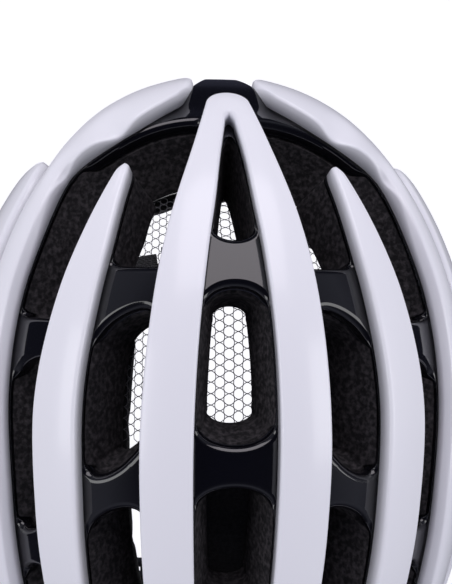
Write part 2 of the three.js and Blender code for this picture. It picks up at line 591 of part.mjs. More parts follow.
/** The swivel at the temple: a stud through the anchor, a disc, and a fork whose pin carries the arm's eye. */
function templeSwivel() {
  const { x, y, z } = ARM_PIVOT;
  const disc = TEMPLE.face - GAP;
  const reach = ARM.height / 2 + GAP;
  const ear = (side) => box(disc - x + 3, 6.4, 2.2, (disc + x - 3) / 2, y, z + side * (reach + 1.1));
  return union([
    bar(vec(disc - 1.5, y, z), vec(disc, y, z), TEMPLE.radius - 0.6, 20),
    bar(vec(disc - 1, y, z), vec(TEMPLE.face + TEMPLE.thick - 0.4, y, z), STUD_RADIUS, 16),
    ear(1), ear(-1),
    bar(vec(x, y, z - reach - 1), vec(x, y, z + reach + 1), PIN_RADIUS, 12),
  ]);
}

const templeAnchor = bar(vec(TEMPLE.face, ARM_PIVOT.y, ARM_PIVOT.z),
  vec(TEMPLE.face + TEMPLE.thick, ARM_PIVOT.y, ARM_PIVOT.z), TEMPLE.radius, 24)
  .subtract(bar(vec(TEMPLE.face - 1, ARM_PIVOT.y, ARM_PIVOT.z), vec(TEMPLE.face + 9, ARM_PIVOT.y, ARM_PIVOT.z),
    STUD_RADIUS + GAP, 16));

pair('temple_anchor', templeAnchor, MATT_BLACK);
pair('temple_swivel', templeSwivel(), MATT_BLACK);
piece('left_fit_arm', fitArm(1), MATT_BLACK);
piece('right_fit_arm', mirrored(fitArm(-1)), MATT_BLACK);

function makeDial() {
  const { y, z } = DIAL_PLACE;
  const at = (body) => body.translate(DIAL_PLACE.toArray());
  const [half, tall, wall, room] = [HOUSING.half, HOUSING.tall, HOUSING.wall, HOUSING.room];
  const back = y + room / 2 + wall;
  const front = y - room / 2;
  const tray = box(2 * half, back - front, tall, 0, (back + front) / 2, z)
    .subtract(box(2 * half + 2, room, tall - 2 * wall, 0, y - 0.5, z))
    .subtract(at(bar(vec(0, 0, 0), vec(0, 20, 0), SHAFT_RADIUS + GAP, 20)));
  piece('dial_housing', tray, MATT_BLACK);

  // The cradle cups the back of the head and closes the housing's front.
  const frontFace = front - GAP;
  const wings = loft(steps(12).map((t) => {
    const u = lerp(-1, 1, t);
    const x = CRADLE.half * u;
    const reach = frontFace - CRADLE.thick / 2 - CRADLE.wrap * Math.max(0, (Math.abs(x) - half) / (CRADLE.half - half)) ** 1.6;
    const lean = Math.max(0, (Math.abs(x) - half) / (CRADLE.half - half)) * 0.7 * Math.sign(x);
    const tallHere = CRADLE.tall * (1 - 0.35 * Math.abs(u) ** 4);
    const [dx, dy] = [Math.sin(lean) * CRADLE.thick / 2, Math.cos(lean) * CRADLE.thick / 2];
    const corner = (s, v) => vec(x + s * dx, reach + s * dy, z + v * tallHere / 2);
    return [corner(-1, -1), corner(1, -1), corner(1, 1), corner(-1, 1)];
  }));
  const window = (x) => box(11, 60, CRADLE.tall * 0.42, x, y - 10, z);
  piece('cradle', wings.subtract(window(-CRADLE.half * 0.72)).subtract(window(CRADLE.half * 0.72)), MATT_BLACK);
  const cradlePad = box(20, 4, CRADLE.tall * 0.8, 12, frontFace - CRADLE.thick - GAP - 2, z);
  pair('cradle_pad', cradlePad, PADDING);

  piece('pinion', at(pinionBody()), MATT_BLACK);
  const knobBack = KNOB_START + DIAL_DEPTH;
  const disc = bar(vec(0, KNOB_START, 0), vec(0, knobBack, 0), DIAL_RADIUS - 2, 32);
  const socket = bar(vec(0, KNOB_START - 1, 0), vec(0, KNOB_FACE + GAP, 0), SHAFT_RADIUS + GAP, 20);
  const headRoom = bar(vec(0, knobBack - 2.5, 0), vec(0, knobBack + 1, 0), 3.6, 20);
  const through = bar(vec(0, KNOB_START, 0), vec(0, knobBack + 1, 0), SCREW_RADIUS + GAP, 12);
  const flange = bar(vec(0, KNOB_START, 0), vec(0, KNOB_START + 1.5, 0), DIAL_RADIUS, 32);
  piece('dial_knob', at(cut(disc.add(flange), [socket, headRoom, through])), MATT_BLACK);
  const ring = bar(vec(0, KNOB_START + 1.5 + GAP, 0), vec(0, knobBack - 0.8, 0), DIAL_RADIUS, 32)
    .subtract(bar(vec(0, 0, 0), vec(0, 40, 0), DIAL_RADIUS - 2 + GAP, 32));
  const notches = steps(12).slice(1).map((t) => bar(
    vec(Math.cos(2 * Math.PI * t) * (DIAL_RADIUS + 0.4), 0, Math.sin(2 * Math.PI * t) * (DIAL_RADIUS + 0.4)),
    vec(Math.cos(2 * Math.PI * t) * (DIAL_RADIUS + 0.4), 40, Math.sin(2 * Math.PI * t) * (DIAL_RADIUS + 0.4)), 1.3, 6));
  piece('dial_grip', at(cut(ring, notches)), RUBBER);
  const screw = bar(vec(0, KNOB_FACE - 4.5, 0), vec(0, knobBack - 1.5, 0), SCREW_RADIUS, 12)
    .add(bar(vec(0, knobBack - 2.5 + GAP, 0), vec(0, knobBack - 0.8, 0), 3.1, 16));
  piece('dial_screw', at(screw), STEEL);
}

makeDial();

// ---- Straps ---------------------------------------------------------------------------------------------------

const webbing = (points, outward, count) => loft(bandAlong(points, outward, STRAP_WIDTH, STRAP_THICK, count));

function anchorBody({ x, y, z }) {
  const plate = box(ANCHOR.thick, ANCHOR.wide, ANCHOR.tall, x, y, z);
  return plate.subtract(box(ANCHOR.thick * 2, ANCHOR.wide - 5, 1.8, x, y, z + 1.2));
}
pair('front_strap_anchor', anchorBody(FRONT_ANCHOR), MATT_BLACK);
pair('rear_strap_anchor', anchorBody(REAR_ANCHOR), MATT_BLACK);

// The two upper straps run from under their anchors to the top of the divider, side by side.
const dividerTop = DIVIDER_PLACE.z + DIVIDER.tall / 2 + GAP;
const hang = (anchor) => vec(anchor.x, anchor.y, anchor.z - ANCHOR.tall / 2 - 2);
const { x: divX, y: divY } = DIVIDER_PLACE;
const frontTop = hang(FRONT_ANCHOR);
const rearTop = hang(REAR_ANCHOR);
pair('front_strap', webbing([frontTop, frontTop.clone().add(vec(0, 2, -18)), vec(79, -22, -22),
  vec(divX - 1.2, divY - 5.5, dividerTop + 5.5)], () => vec(1, 0.02, 0), 9), WEBBING);
pair('rear_strap', webbing([rearTop, rearTop.clone().add(vec(0.5, -4, -18)), vec(76.5, 28, -22),
  vec(divX + 1.2, divY + 5.5, dividerTop + 5.5)], () => vec(1, 0.02, 0), 9), WEBBING);

/** The divider: a flat frame that the straps pass through, open above and below, with a window for its cam lever. */
function dividerBody() {
  const { x, y, z } = DIVIDER_PLACE;
  const frame = box(DIVIDER.thick, DIVIDER.wide, DIVIDER.tall, x, y, z);
  const through = box(DIVIDER.thick - 2 * DIVIDER.wall, DIVIDER.wide - 2 * DIVIDER.wall, DIVIDER.tall + 2, x, y, z);
  const window = box(DIVIDER.thick, DIVIDER.wide - 4 * DIVIDER.wall, DIVIDER.tall - 2 * DIVIDER.wall - 2,
    x + DIVIDER.thick / 2, y, z);
  const pinHole = bar(vec(x + LEVER.out, y - 30, z + LEVER.up), vec(x + LEVER.out, y + 30, z + LEVER.up), 1 + GAP, 12);
  return cut(frame, [through, window, pinHole]);
}
pair('strap_divider', dividerBody(), MATT_BLACK);
pair('cam_pin', bar(vec(divX + LEVER.out, divY - DIVIDER.wide / 2, DIVIDER_PLACE.z + LEVER.up),
  vec(divX + LEVER.out, divY + DIVIDER.wide / 2, DIVIDER_PLACE.z + LEVER.up), 1, 10), STEEL);
const leverWide = DIVIDER.wide - 4 * DIVIDER.wall - 1;
const leverBody = bar(vec(divX + LEVER.out, divY - leverWide / 2, DIVIDER_PLACE.z + LEVER.up),
  vec(divX + LEVER.out, divY + leverWide / 2, DIVIDER_PLACE.z + LEVER.up), 2.2, 16)
  .add(box(LEVER.thick, leverWide, 9, divX + LEVER.out + 0.9, divY, DIVIDER_PLACE.z + LEVER.up - 4.5))
  .subtract(bar(vec(divX + LEVER.out, divY - 30, DIVIDER_PLACE.z + LEVER.up),
    vec(divX + LEVER.out, divY + 30, DIVIDER_PLACE.z + LEVER.up), 1 + GAP, 12));
pair('cam_lever', leverBody, MATT_BLACK);

// The chin straps go round the jaw to the buckle.
const below = DIVIDER_PLACE.z - DIVIDER.tall / 2 - GAP;
const chinWay = (end) => [vec(divX, divY, below), vec(divX - 2, divY - 3, below - 14), vec(64, -17, -96),
  vec(44, -37, -116), end.clone().add(vec(8, 1.6, 1)), end];
const chinFace = (t) => vec(1 - 0.35 * t, 0, -(t ** 1.4) * 2.2);
const tongueEnd = BUCKLE_PLACE.x + BUCKLE.tongue;
const socketEnd = -BUCKLE_PLACE.x + BUCKLE.socket;
const chinLeft = chinWay(vec(tongueEnd + STRAP_END_GAP, BUCKLE_PLACE.y, BUCKLE_PLACE.z));
const chinRight = chinWay(vec(socketEnd + STRAP_END_GAP, BUCKLE_PLACE.y, BUCKLE_PLACE.z));
piece('left_chin_strap', webbing(chinLeft, chinFace, 16), WEBBING);
piece('right_chin_strap', mirrored(webbing(chinRight, chinFace, 16)), WEBBING);

/** The buckle's socket: a flat box open at its mouth, with two windows in its edges for the prongs. */
function socketBody() {
  const { x, y, z } = BUCKLE_PLACE;
  const shell = box(BUCKLE.socket, BUCKLE.wide, BUCKLE.thick, x - BUCKLE.socket / 2, y, z);
  const room = box(BUCKLE.socket, BUCKLE.wide - 2 * BUCKLE.wall, BUCKLE.thick - 2 * BUCKLE.wall,
    x - BUCKLE.socket / 2 + 3.5, y, z);
  const windows = box(8, BUCKLE.wide + 2, BUCKLE.thick - 2 * BUCKLE.wall, x - 13, y, z);
  return cut(shell, [room, windows]);
}
function tongueBody() {
  const { x, y, z } = BUCKLE_PLACE;
  const inner = BUCKLE.thick - 2 * BUCKLE.wall - 2 * GAP;
  const base = box(BUCKLE.tongue - GAP, BUCKLE.wide - 2, BUCKLE.thick - 1, x + (BUCKLE.tongue + GAP) / 2, y, z);
  const guide = box(BUCKLE.prong, 3.4, inner, x - BUCKLE.prong / 2 + 1, y, z);
  return union([base, guide]);
}
/** A springy prong beside the guide, whose hook looks out of the socket's window; `side` is -1 at the front. */
function prongBody(side) {
  const { x, y, z } = BUCKLE_PLACE;
  const inner = BUCKLE.thick - 2 * BUCKLE.wall - 2 * GAP;
  const reach = BUCKLE.wide / 2 - BUCKLE.wall - GAP;
  return box(BUCKLE.prong - GAP, 3, inner, x - (BUCKLE.prong - GAP) / 2, y + side * (reach - 1.5), z)
    .add(box(5, 2.2, inner, x - 13, y + side * (reach + 0.9), z));
}
piece('buckle_front_prong', prongBody(-1), MATT_BLACK);
piece('buckle_rear_prong', prongBody(1), MATT_BLACK);
piece('buckle_socket', socketBody(), MATT_BLACK);
piece('buckle_tongue', tongueBody(), MATT_BLACK);

/** A sleeve round a strap between two shares of its path. */
function sleeve(points, from, to, wall, count) {
  const path = new THREE.CatmullRomCurve3(points, false, 'centripetal');
  const part = steps(count).map((t) => path.getPointAt(lerp(from, to, t)));
  const face = (t) => chinFace(lerp(from, to, t));
  const longer = [part[0].clone().lerp(part[1], -0.3), ...part.slice(1, -1), part.at(-1).clone().lerp(part.at(-2), -0.3)];
  const clear = [STRAP_WIDTH + 2 * 0.8, STRAP_THICK + 2 * 0.8];
  return loft(bandAlong(part, face, clear[0] + 2 * wall, clear[1] + 2 * wall, count))
    .subtract(loft(bandAlong(longer, face, clear[0], clear[1], count)));
}
piece('chin_pad', mirrored(sleeve(chinRight, 0.5, 0.86, 2.4, 7)), PADDING);
piece('strap_keeper', sleeve(chinLeft, 0.56, 0.62, 1.4, 2), RUBBER);

export default helmet;
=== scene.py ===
# %% [markdown]
# # A ventilated cycling helmet
# The helmet is seen from almost straight above, a little ahead of the crown. What makes it that helmet is a
# family of long white ribs over a piano-black shell, with deep foam-walled vents and a fine insect net
# between them. Nearly every surface here is one idea: a place on a smooth dome is a pair of angles and a
# depth, and a piece is a grid of such places worked out as whole numpy arrays.

# %% Load the frame
import bmesh
import bpy
import math
import numpy as np
from mathutils import Matrix, Vector


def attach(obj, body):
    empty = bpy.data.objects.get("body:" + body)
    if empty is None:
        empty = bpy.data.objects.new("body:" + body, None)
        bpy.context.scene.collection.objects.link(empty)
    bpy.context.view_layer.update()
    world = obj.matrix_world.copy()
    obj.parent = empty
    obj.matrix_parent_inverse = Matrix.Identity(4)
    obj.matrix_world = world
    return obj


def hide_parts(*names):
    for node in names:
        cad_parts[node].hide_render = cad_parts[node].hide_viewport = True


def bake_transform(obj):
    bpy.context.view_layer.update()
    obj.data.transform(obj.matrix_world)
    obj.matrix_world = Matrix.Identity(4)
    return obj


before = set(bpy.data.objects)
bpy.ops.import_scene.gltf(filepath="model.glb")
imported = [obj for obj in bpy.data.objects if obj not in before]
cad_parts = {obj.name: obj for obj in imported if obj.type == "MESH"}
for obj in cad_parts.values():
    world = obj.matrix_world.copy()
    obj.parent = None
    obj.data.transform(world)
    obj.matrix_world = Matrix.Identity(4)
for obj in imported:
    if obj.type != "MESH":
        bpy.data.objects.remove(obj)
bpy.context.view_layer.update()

# %% [markdown]
# ## Camera
# The eye is 550 mm from the brow and nearly overhead, so the front ribs run away from it and the vents show
# their walls. A long lens keeps the dome's shape calm.

# %% Camera
aim = Vector((-0.00322, -0.05256, 0.07429))
rise, drift, roll = math.radians(94.45), math.radians(5.19), math.radians(0.95)
towards_eye = Vector((math.sin(drift), math.cos(drift) * math.cos(rise), math.cos(drift) * math.sin(rise)))
eye = aim + 0.55 * towards_eye
right = (-towards_eye).cross(Vector((0, -1, 0))).normalized()
up = right.cross(-towards_eye)
turned_right = right * math.cos(roll) + up * math.sin(roll)
turned_up = up * math.cos(roll) - right * math.sin(roll)
camera_data = bpy.data.cameras.new("camera")
camera_data.lens = 85.4
camera_data.sensor_width = 36.0
camera = bpy.data.objects.new("camera", camera_data)
camera.matrix_world = Matrix((
    (turned_right.x, turned_up.x, towards_eye.x, eye.x),
    (turned_right.y, turned_up.y, towards_eye.y, eye.y),
    (turned_right.z, turned_up.z, towards_eye.z, eye.z),
    (0, 0, 0, 1)))
bpy.context.scene.collection.objects.link(camera)
bpy.context.scene.camera = camera
print("camera at", [round(v, 3) for v in eye])

# %% [markdown]
# ## The dome
# The outside is a superellipsoid: an ellipsoid whose squares are powers of 2.1, which fills its corners a
# little. `back` runs from 0 at the front pole to 180 at the rear one, `side` from 0 on the crown line to
# the wearer's left, and `depth` is how far a point lies below the rib tops, along the dome's normal. All of
# it is in millimetres and becomes metres only when a mesh is made.

# %% The dome as a function
ROUND = 2.1
POLE_LEVEL = 55.0
OUTSIDE = dict(width=106.0, rise=108.5, front=140.0, rear=150.0, low_front=110.0, low_rear=78.0)
INSIDE = dict(width=78.0, rise=77.0, front=101.0, rear=104.0, low_front=170.0, low_rear=170.0)


def signed_power(value, exponent):
    """The power of a number's size, with its sign put back."""
    return np.sign(value) * np.abs(value) ** exponent


def ease(value, low, high):
    """A smooth step from 0 at `low` to 1 at `high`: 3t^2 - 2t^3."""
    t = np.clip((value - low) / (high - low), 0, 1)
    return t * t * (3 - 2 * t)


def dome(back, side, depth=0.0, shape=OUTSIDE):
    """Points on a superellipsoid: y = -reach cos(back)^(2/n), and x and z share the ring sin(back)^(2/n) in
    the same way by sin and cos of `side`. The point then moves `depth` inwards along the gradient of the
    surface."""
    back, side, depth = np.broadcast_arrays(*(np.asarray(value, float) for value in (back, side, depth)))
    b, s = np.radians(back), np.radians(side)
    ring = np.abs(np.sin(b)) ** (2 / ROUND)
    reach = np.where(np.cos(b) >= 0, shape["front"], shape["rear"])
    y = -reach * signed_power(np.cos(b), 2 / ROUND)
    low_front, low_rear = shape["low_front"], shape["low_rear"]
    low = low_front + (low_rear - low_front) * ease(y, -shape["front"], shape["rear"])
    high = np.where(np.cos(s) >= 0, shape["rise"], low)
    x = shape["width"] * ring * signed_power(np.sin(s), 2 / ROUND)
    z = high * ring * signed_power(np.cos(s), 2 / ROUND)
    normal = np.stack([signed_power(x / shape["width"], ROUND - 1) / shape["width"],
                       signed_power(y / reach, ROUND - 1) / reach,
                       signed_power(z / high, ROUND - 1) / high], axis=-1)
    normal /= np.linalg.norm(normal, axis=-1, keepdims=True)
    return np.stack([x, y, z + POLE_LEVEL], axis=-1) - normal * depth[..., None]


def stretch(back, side):
    """Millimetres on the dome for one degree of `back` and for one degree of `side`."""
    step = 0.05
    along = np.linalg.norm(dome(back + step, side) - dome(back - step, side), axis=-1) / (2 * step)
    across = np.linalg.norm(dome(back, side + step) - dome(back, side - step), axis=-1) / (2 * step)
    return along, across


def through(*points):
    """A smooth curve through (x, y) pairs: cubic pieces whose slope at each point joins its two
    neighbours."""
    xs, ys = np.array(points, float).T
    slopes = np.empty_like(xs)
    slopes[1:-1] = (ys[2:] - ys[:-2]) / (xs[2:] - xs[:-2])
    slopes[0], slopes[-1] = (ys[1] - ys[0]) / (xs[1] - xs[0]), (ys[-1] - ys[-2]) / (xs[-1] - xs[-2])

    def value(x):
        x = np.asarray(x, float)
        i = np.clip(np.searchsorted(xs, x) - 1, 0, len(xs) - 2)
        run = xs[i + 1] - xs[i]
        t = np.clip((x - xs[i]) / run, 0, 1)
        return ((2 * t**3 - 3 * t**2 + 1) * ys[i] + (t**3 - 2 * t**2 + t) * run * slopes[i]
                + (3 * t**2 - 2 * t**3) * ys[i + 1] + (t**3 - t**2) * run * slopes[i + 1])
    return value


print("crown at", dome(90, 0).round(1), "front tip at", dome(0, 0).round(1))

# %% [markdown]
# ## From arrays to meshes
# A grid of points becomes quads between neighbours. A grid may close on itself round its columns, as a
# bar's section does, or round its rows, as a vent's outline does. An open bar gets a fan of triangles at
# each end, so that every piece is one closed body with its faces pointing out.

# %% Grid to mesh
MM = 0.001


def grid_faces(rows, cols, wrap_rows=False, wrap_cols=True):
    """Quads between neighbouring grid points, with the last row or column joined to the first where it
    wraps."""
    r = np.arange(rows if wrap_rows else rows - 1)[:, None]
    c = np.arange(cols if wrap_cols else cols - 1)[None, :]
    r2, c2 = (r + 1) % rows, (c + 1) % cols
    return np.stack([r * cols + c, r * cols + c2, r2 * cols + c2, r2 * cols + c], axis=-1).reshape(-1, 4)


def body_volume(points, faces):
    """Signed volume: the sum over triangles of a . (b x c) / 6. It is negative when the faces point
    inwards."""
    tri = np.concatenate([faces[:, [0, 1, 2]], faces[:, [0, 2, 3]]]) if faces.shape[1] == 4 else faces
    a, b, c = points[tri[:, 0]], points[tri[:, 1]], points[tri[:, 2]]
    return float(np.einsum("ij,ij->", a, np.cross(b, c)) / 6)


class Build:
    """Collects closed bodies, each a grid, into one mesh. Points are in millimetres."""

    def __init__(self):
        self.points, self.quads, self.tris, self.count = [], [], [], 0

    def grid(self, points, wrap_rows=False, wrap_cols=True, caps=True):
        rows, cols = points.shape[:2]
        flat = points.reshape(-1, 3)
        quads = grid_faces(rows, cols, wrap_rows, wrap_cols)
        tris = np.zeros((0, 3), int)
        if caps and not wrap_rows:
            first, last = flat[:cols].mean(0), flat[-cols:].mean(0)
            flat = np.vstack([flat, first, last])
            i = np.arange(cols)
            j = (i + 1) % cols
            a, b = rows * cols, rows * cols + 1
            end = (rows - 1) * cols
            tris = np.concatenate([np.stack([j, i, np.full(cols, a)], 1),
                                   np.stack([i + end, j + end, np.full(cols, b)], 1)])
        volume = body_volume(flat, quads) + (body_volume(flat, tris) if len(tris) else 0)
        if volume < 0:
            quads, tris = quads[:, ::-1], tris[:, ::-1]
        self.points.append(flat)
        self.quads.append(quads + self.count)
        self.tris.append(tris + self.count)
        self.count += len(flat)
        return self

    def mesh(self, name, smooth=True, angle=None):
        points = np.concatenate(self.points)
        faces = [q.tolist() for q in self.quads] + [t.tolist() for t in self.tris]
        mesh = bpy.data.meshes.new(name)
        mesh.from_pydata((points * MM).tolist(), [], [f for group in faces for f in group])
        mesh.validate()
        if smooth:
            mesh.shade_smooth()
        else:
            mesh.shade_flat()
        if angle:
            mesh.set_sharp_from_angle(angle=math.radians(angle))
        return mesh


def piece(name, mesh, material, body, nodes=()):
    """Puts a mesh in the scene as a named piece that rides on a body and stands for CAD nodes."""
    made = bpy.data.objects.new(name, mesh)
    bpy.context.scene.collection.objects.link(made)
    made.data.materials.clear()
    made.data.materials.append(material)
    if body:
        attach(made, body)
    if nodes:
        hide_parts(*nodes)
    print(name, len(mesh.polygons), "faces")
    return made


# %% [markdown]
# ## Finishes
# The white is a hard glossy lacquer, cool towards lavender. The black shell is polished and picks up soft
# grey reflections. The foam is moulded from beads, so it is matt and mottled. Each finish has its own fine
# relief, read from object coordinates so that it stays put on a moving piece.

# %% Finishes
def finish(name, colour, roughness, **more):
    """A material with one Principled shader; extra numbers go straight onto the shader's own sockets."""
    material = bpy.data.materials.new(name)
    material.use_nodes = True
    shader = material.node_tree.nodes["Principled BSDF"]
    shader.inputs["Base Color"].default_value = (*colour, 1)
    shader.inputs["Roughness"].default_value = roughness
    for socket, value in more.items():
        shader.inputs[socket.replace("_", " ")].default_value = value
    return material


def object_noise(tree, scale, detail):
    """The output of a noise texture that is read from object coordinates."""
    place = tree.nodes.new("ShaderNodeTexCoord")
    noise = tree.nodes.new("ShaderNodeTexNoise")
    noise.inputs["Scale"].default_value = scale
    noise.inputs["Detail"].default_value = detail
    tree.links.new(place.outputs["Object"], noise.inputs["Vector"])
    return noise.outputs["Fac"]


def ramp(tree, source, *stops):
    """The output of a colour ramp over `source`, with a colour at each position."""
    node = tree.nodes.new("ShaderNodeValToRGB")
    elements = node.color_ramp.elements
    while len(elements) < len(stops):
        elements.new(0.5)
    for element, (position, colour) in zip(elements, stops):
        element.position, element.color = position, (*colour, 1)
    tree.links.new(source, node.inputs["Fac"])
    return node.outputs["Color"]


def emboss(tree, source, height):
    """A bump node that turns `source` into relief; `height` is in metres."""
    bump = tree.nodes.new("ShaderNodeBump")
    bump.inputs["Distance"].default_value = height
    tree.links.new(source, bump.inputs["Height"])
    tree.links.new(bump.outputs["Normal"], tree.nodes["Principled BSDF"].inputs["Normal"])


def mottle(material, scale, dark, light, low, high, detail, target="Base Color"):
    """Noise stretched between two colours, from its value `low` to its value `high`."""
    tree = material.node_tree
    colour = ramp(tree, object_noise(tree, scale, detail), (low, dark), (high, light))
    tree.links.new(colour, tree.nodes["Principled BSDF"].inputs[target])


def patchy(material, scale, smooth, rough, low, high, detail):
    """The same noise on the roughness, between two values."""
    mottle(material, scale, 3 * (smooth,), 3 * (rough,), low, high, detail, "Roughness")


def grain(material, scale, height):
    """Fine relief made of noise."""
    tree = material.node_tree
    emboss(tree, object_noise(tree, scale, 3.0), height)


white_lacquer = finish("white_lacquer", (0.87, 0.87, 0.93), 0.28, Coat_Weight=0.5, Coat_Roughness=0.12)
mottle(white_lacquer, 9.0, (0.86, 0.86, 0.925), (0.885, 0.885, 0.94), 0.3, 0.7, 2.0)
grain(white_lacquer, 260.0, 0.00002)
piano_black = finish("piano_black", (0.0015, 0.0015, 0.003), 0.10, Coat_Weight=1.0, Coat_Roughness=0.04)
patchy(piano_black, 30.0, 0.08, 0.13, 0.3, 0.7, 2.0)
grain(piano_black, 35.0, 0.00006)
bead_foam = finish("bead_foam", (0.02, 0.017, 0.018), 0.85)
mottle(bead_foam, 560.0, (0.008, 0.007, 0.009), (0.066, 0.058, 0.064), 0.42, 0.72, 6.0)
grain(bead_foam, 420.0, 0.0006)
net_yarn = finish("net_yarn", (0.11, 0.11, 0.12), 0.7)
grain(net_yarn, 2500.0, 0.0001)

# %% [markdown]
# ## Where the ribs run
# Each rib edge is a smooth curve that gives the side angle for a back angle. The channels between ribs hold
# the vents, so the same curves place both.

# %% Rib edges
centre_in = through((31, 1.2), (41, 3), (50, 4.1), (59, 5.4), (72, 6.7), (85, 7.3), (97, 7.2), (130, 6.2),
                    (160, 5))
centre_out = through((26, 9), (32, 9.8), (40, 11.2), (54, 14.3), (66, 16), (86, 17.2), (97, 17), (130, 16),
                     (160, 19))
mid_in = through((43, 28.2), (57, 27.9), (67, 28.8), (82, 30.4), (97, 30), (130, 30), (160, 34.5))
mid_out = through((43, 31.4), (57, 35.4), (67, 38), (83, 40.6), (97, 40), (130, 39.5), (160, 48))
outer_in = through((46, 52.6), (57, 51.8), (68, 52.4), (83, 51.9), (97, 50.2), (130, 52), (160, 62))
outer_out = through((45, 61), (63, 61.5), (83, 61.5), (97, 60), (130, 62), (160, 76))
side_in = through((42, 66), (63, 65), (83, 69), (105, 74), (130, 74), (150, 79))
side_out = through((42, 80), (63, 84), (83, 86), (105, 87), (130, 88), (150, 88))
NOSE_TIP, NOSE_SHOULDER = 22.0, 26.0
CROTCH, INNER_SHOULDER, CROTCH_RISE = 31.0, 32.5, 2.4
CENTRE_END, MID_TIP, MID_END, OUTER_END, SIDE_TIP, SIDE_END = 157.0, 43.4, 153.0, 150.0, 43.0, 146.0
RIB_HEIGHT = 6.4

# %% [markdown]
# ## The white ribs
# A rib is a moulded bar with rounded shoulders. Its section is drawn once, as a share of the way across and
# a depth at each point, and carried along two edge curves at once. The centre rib is a single bar that runs
# up one leg, turns round the nose and comes down the other leg, so its edges are an outer and an inner V.

# %% Rib section and rib bar
def rib_section(width, near, far, crown=0.35, base=6.1, inset=0.3, count=10):
    """The section of a rib, closed, as distances across in millimetres and depths. Each shoulder is a
    quarter of an ellipse `near` or `far` wide, the top between them is a shallow arc, and the sides lean by
    `inset`."""
    width = np.asarray(width, float)[:, None]
    near, far = (np.minimum(np.reshape(size, (-1, 1)), 0.48 * width) for size in (near, far))
    turn = np.linspace(0, np.pi / 2, count)[None, :]
    top = np.linspace(0, 1, 9)[None, 1:-1]
    rising = near * (1 - np.cos(turn)), near * (1 - np.sin(turn))
    falling = width - far * (1 - np.sin(turn)), far * (1 - np.cos(turn))
    flat = near + (width - near - far) * top, -crown * np.sin(np.pi * top) * np.ones_like(width)
    low = np.full_like(width, base)
    across = np.concatenate([0 * width + inset, rising[0], flat[0], falling[0], width - inset, width * 0.5],
                            axis=1)
    depth = np.concatenate([low, rising[1], flat[1], falling[1], low, low], axis=1)
    return across, depth


def rib_bar(edge_a, edge_b, taper, lift, **section):
    """A bar between two paths of (back, side): each row's section is laid from edge a towards edge b.
    `taper` scales its width at each row. `lift` adds to the depth of its top, with one value for each row
    or for each point."""
    width = np.linalg.norm(dome(*edge_a.T) - dome(*edge_b.T), axis=-1)
    across, depth = rib_section(width * taper, **section)
    share = (across + (width * (1 - taper) / 2)[:, None]) / width[:, None]
    lift = lift if np.ndim(lift) == 2 else lift[:, None]
    base = depth.max()
    depth = np.where(depth < base - 1e-6, np.minimum(depth + lift, base - 0.1), depth)
    back = edge_a[:, None, 0] + (edge_b - edge_a)[:, None, 0] * share
    side = edge_a[:, None, 1] + (edge_b - edge_a)[:, None, 1] * share
    return dome(back, side, depth)


def round_ends(run, start, end):
    """Width shares that close a bar with round ends: sqrt(1 - (1 - t)^2) over the length of each end."""
    shares = np.clip(run / start, 0, 1), np.clip((run[-1] - run) / end, 0, 1)
    return np.prod([np.sqrt(np.clip(1 - (1 - t) ** 2, 0.02, 1)) for t in shares], axis=0)


def spaced(start, stop, count, crowd=0.0):
    """Values from start to stop, crowded towards both ends by mixing in a cosine."""
    t = np.linspace(0, 1, count)
    return start + (stop - start) * ((1 - crowd) * t + crowd * (1 - np.cos(np.pi * t)) / 2)


def run_of(edge):
    """Distance in millimetres along a path of (back, side)."""
    points = dome(*np.array(edge).T)
    return np.concatenate([[0], np.cumsum(np.linalg.norm(np.diff(points, axis=0), axis=-1))])


def along_edge(edge, back):
    """A path of (back, side) on a rib edge."""
    return np.stack([back, edge(back)], 1)


def mirror(points):
    """The other side of the helmet, with the grid's columns reversed so that its faces still point out."""
    return (points * [-1, 1, 1])[:, ::-1]


def rib_piece(name, points):
    mesh = Build().grid(points).mesh(name)
    piece(f"{name}_lacquered", mesh, white_lacquer, "helmet", [name])


def rib_pair(name, points):
    rib_piece(f"left_{name}", points)
    rib_piece(f"right_{name}", mirror(points))


# %% Centre rib
down = spaced(CENTRE_END, NOSE_SHOULDER, 150)
inner_down = CENTRE_END + (INNER_SHOULDER - CENTRE_END) * (down - CENTRE_END) / (NOSE_SHOULDER - CENTRE_END)
leg_out, leg_in = along_edge(centre_out, down), along_edge(centre_in, inner_down)
bend = np.pi * np.linspace(0, 1, 60)[1:-1]
nose_out = np.stack([NOSE_SHOULDER - (NOSE_SHOULDER - NOSE_TIP) * np.sin(bend),
                     centre_out(NOSE_SHOULDER) * np.cos(bend)], 1)
nose_in = np.stack([INNER_SHOULDER - CROTCH_RISE * np.sin(bend),
                    centre_in(INNER_SHOULDER) * signed_power(np.cos(bend), 1.5)], 1)
other = lambda edge: (edge * [1, -1])[::-1]
v_out = np.concatenate([leg_out, nose_out, other(leg_out)])
v_in = np.concatenate([leg_in, nose_in, other(leg_in)])
ends = round_ends(run_of(v_out), 12, 12)
nose_share = np.exp(-((np.arange(len(v_out)) - len(v_out) / 2) / 45.0) ** 4)
rib_piece("centre_rib", rib_bar(v_out, v_in, ends, 4.5 * (1 - ends),
                                near=1.5 + 1.0 * nose_share, far=1.3 + 1.2 * nose_share))

# %% Mid ribs
along = spaced(MID_TIP, MID_END, 170, 0.35)
edges = along_edge(mid_out, along), along_edge(mid_in, along)
ends = round_ends(run_of(edges[0]), 6, 12)
rib_pair("mid_rib", rib_bar(*edges, ends, 3.2 * (1 - ends) ** 1.5, near=1.7, far=1.5))

# %% [markdown]
# ## Outer ribs and their horns
# The outer rib leaves its channel at the brow and bends round it towards the nose, where it widens into a
# horn. Two soft scoops are pressed into the horn's inner edge. A scoop is a bell in two directions that
# sinks the top.

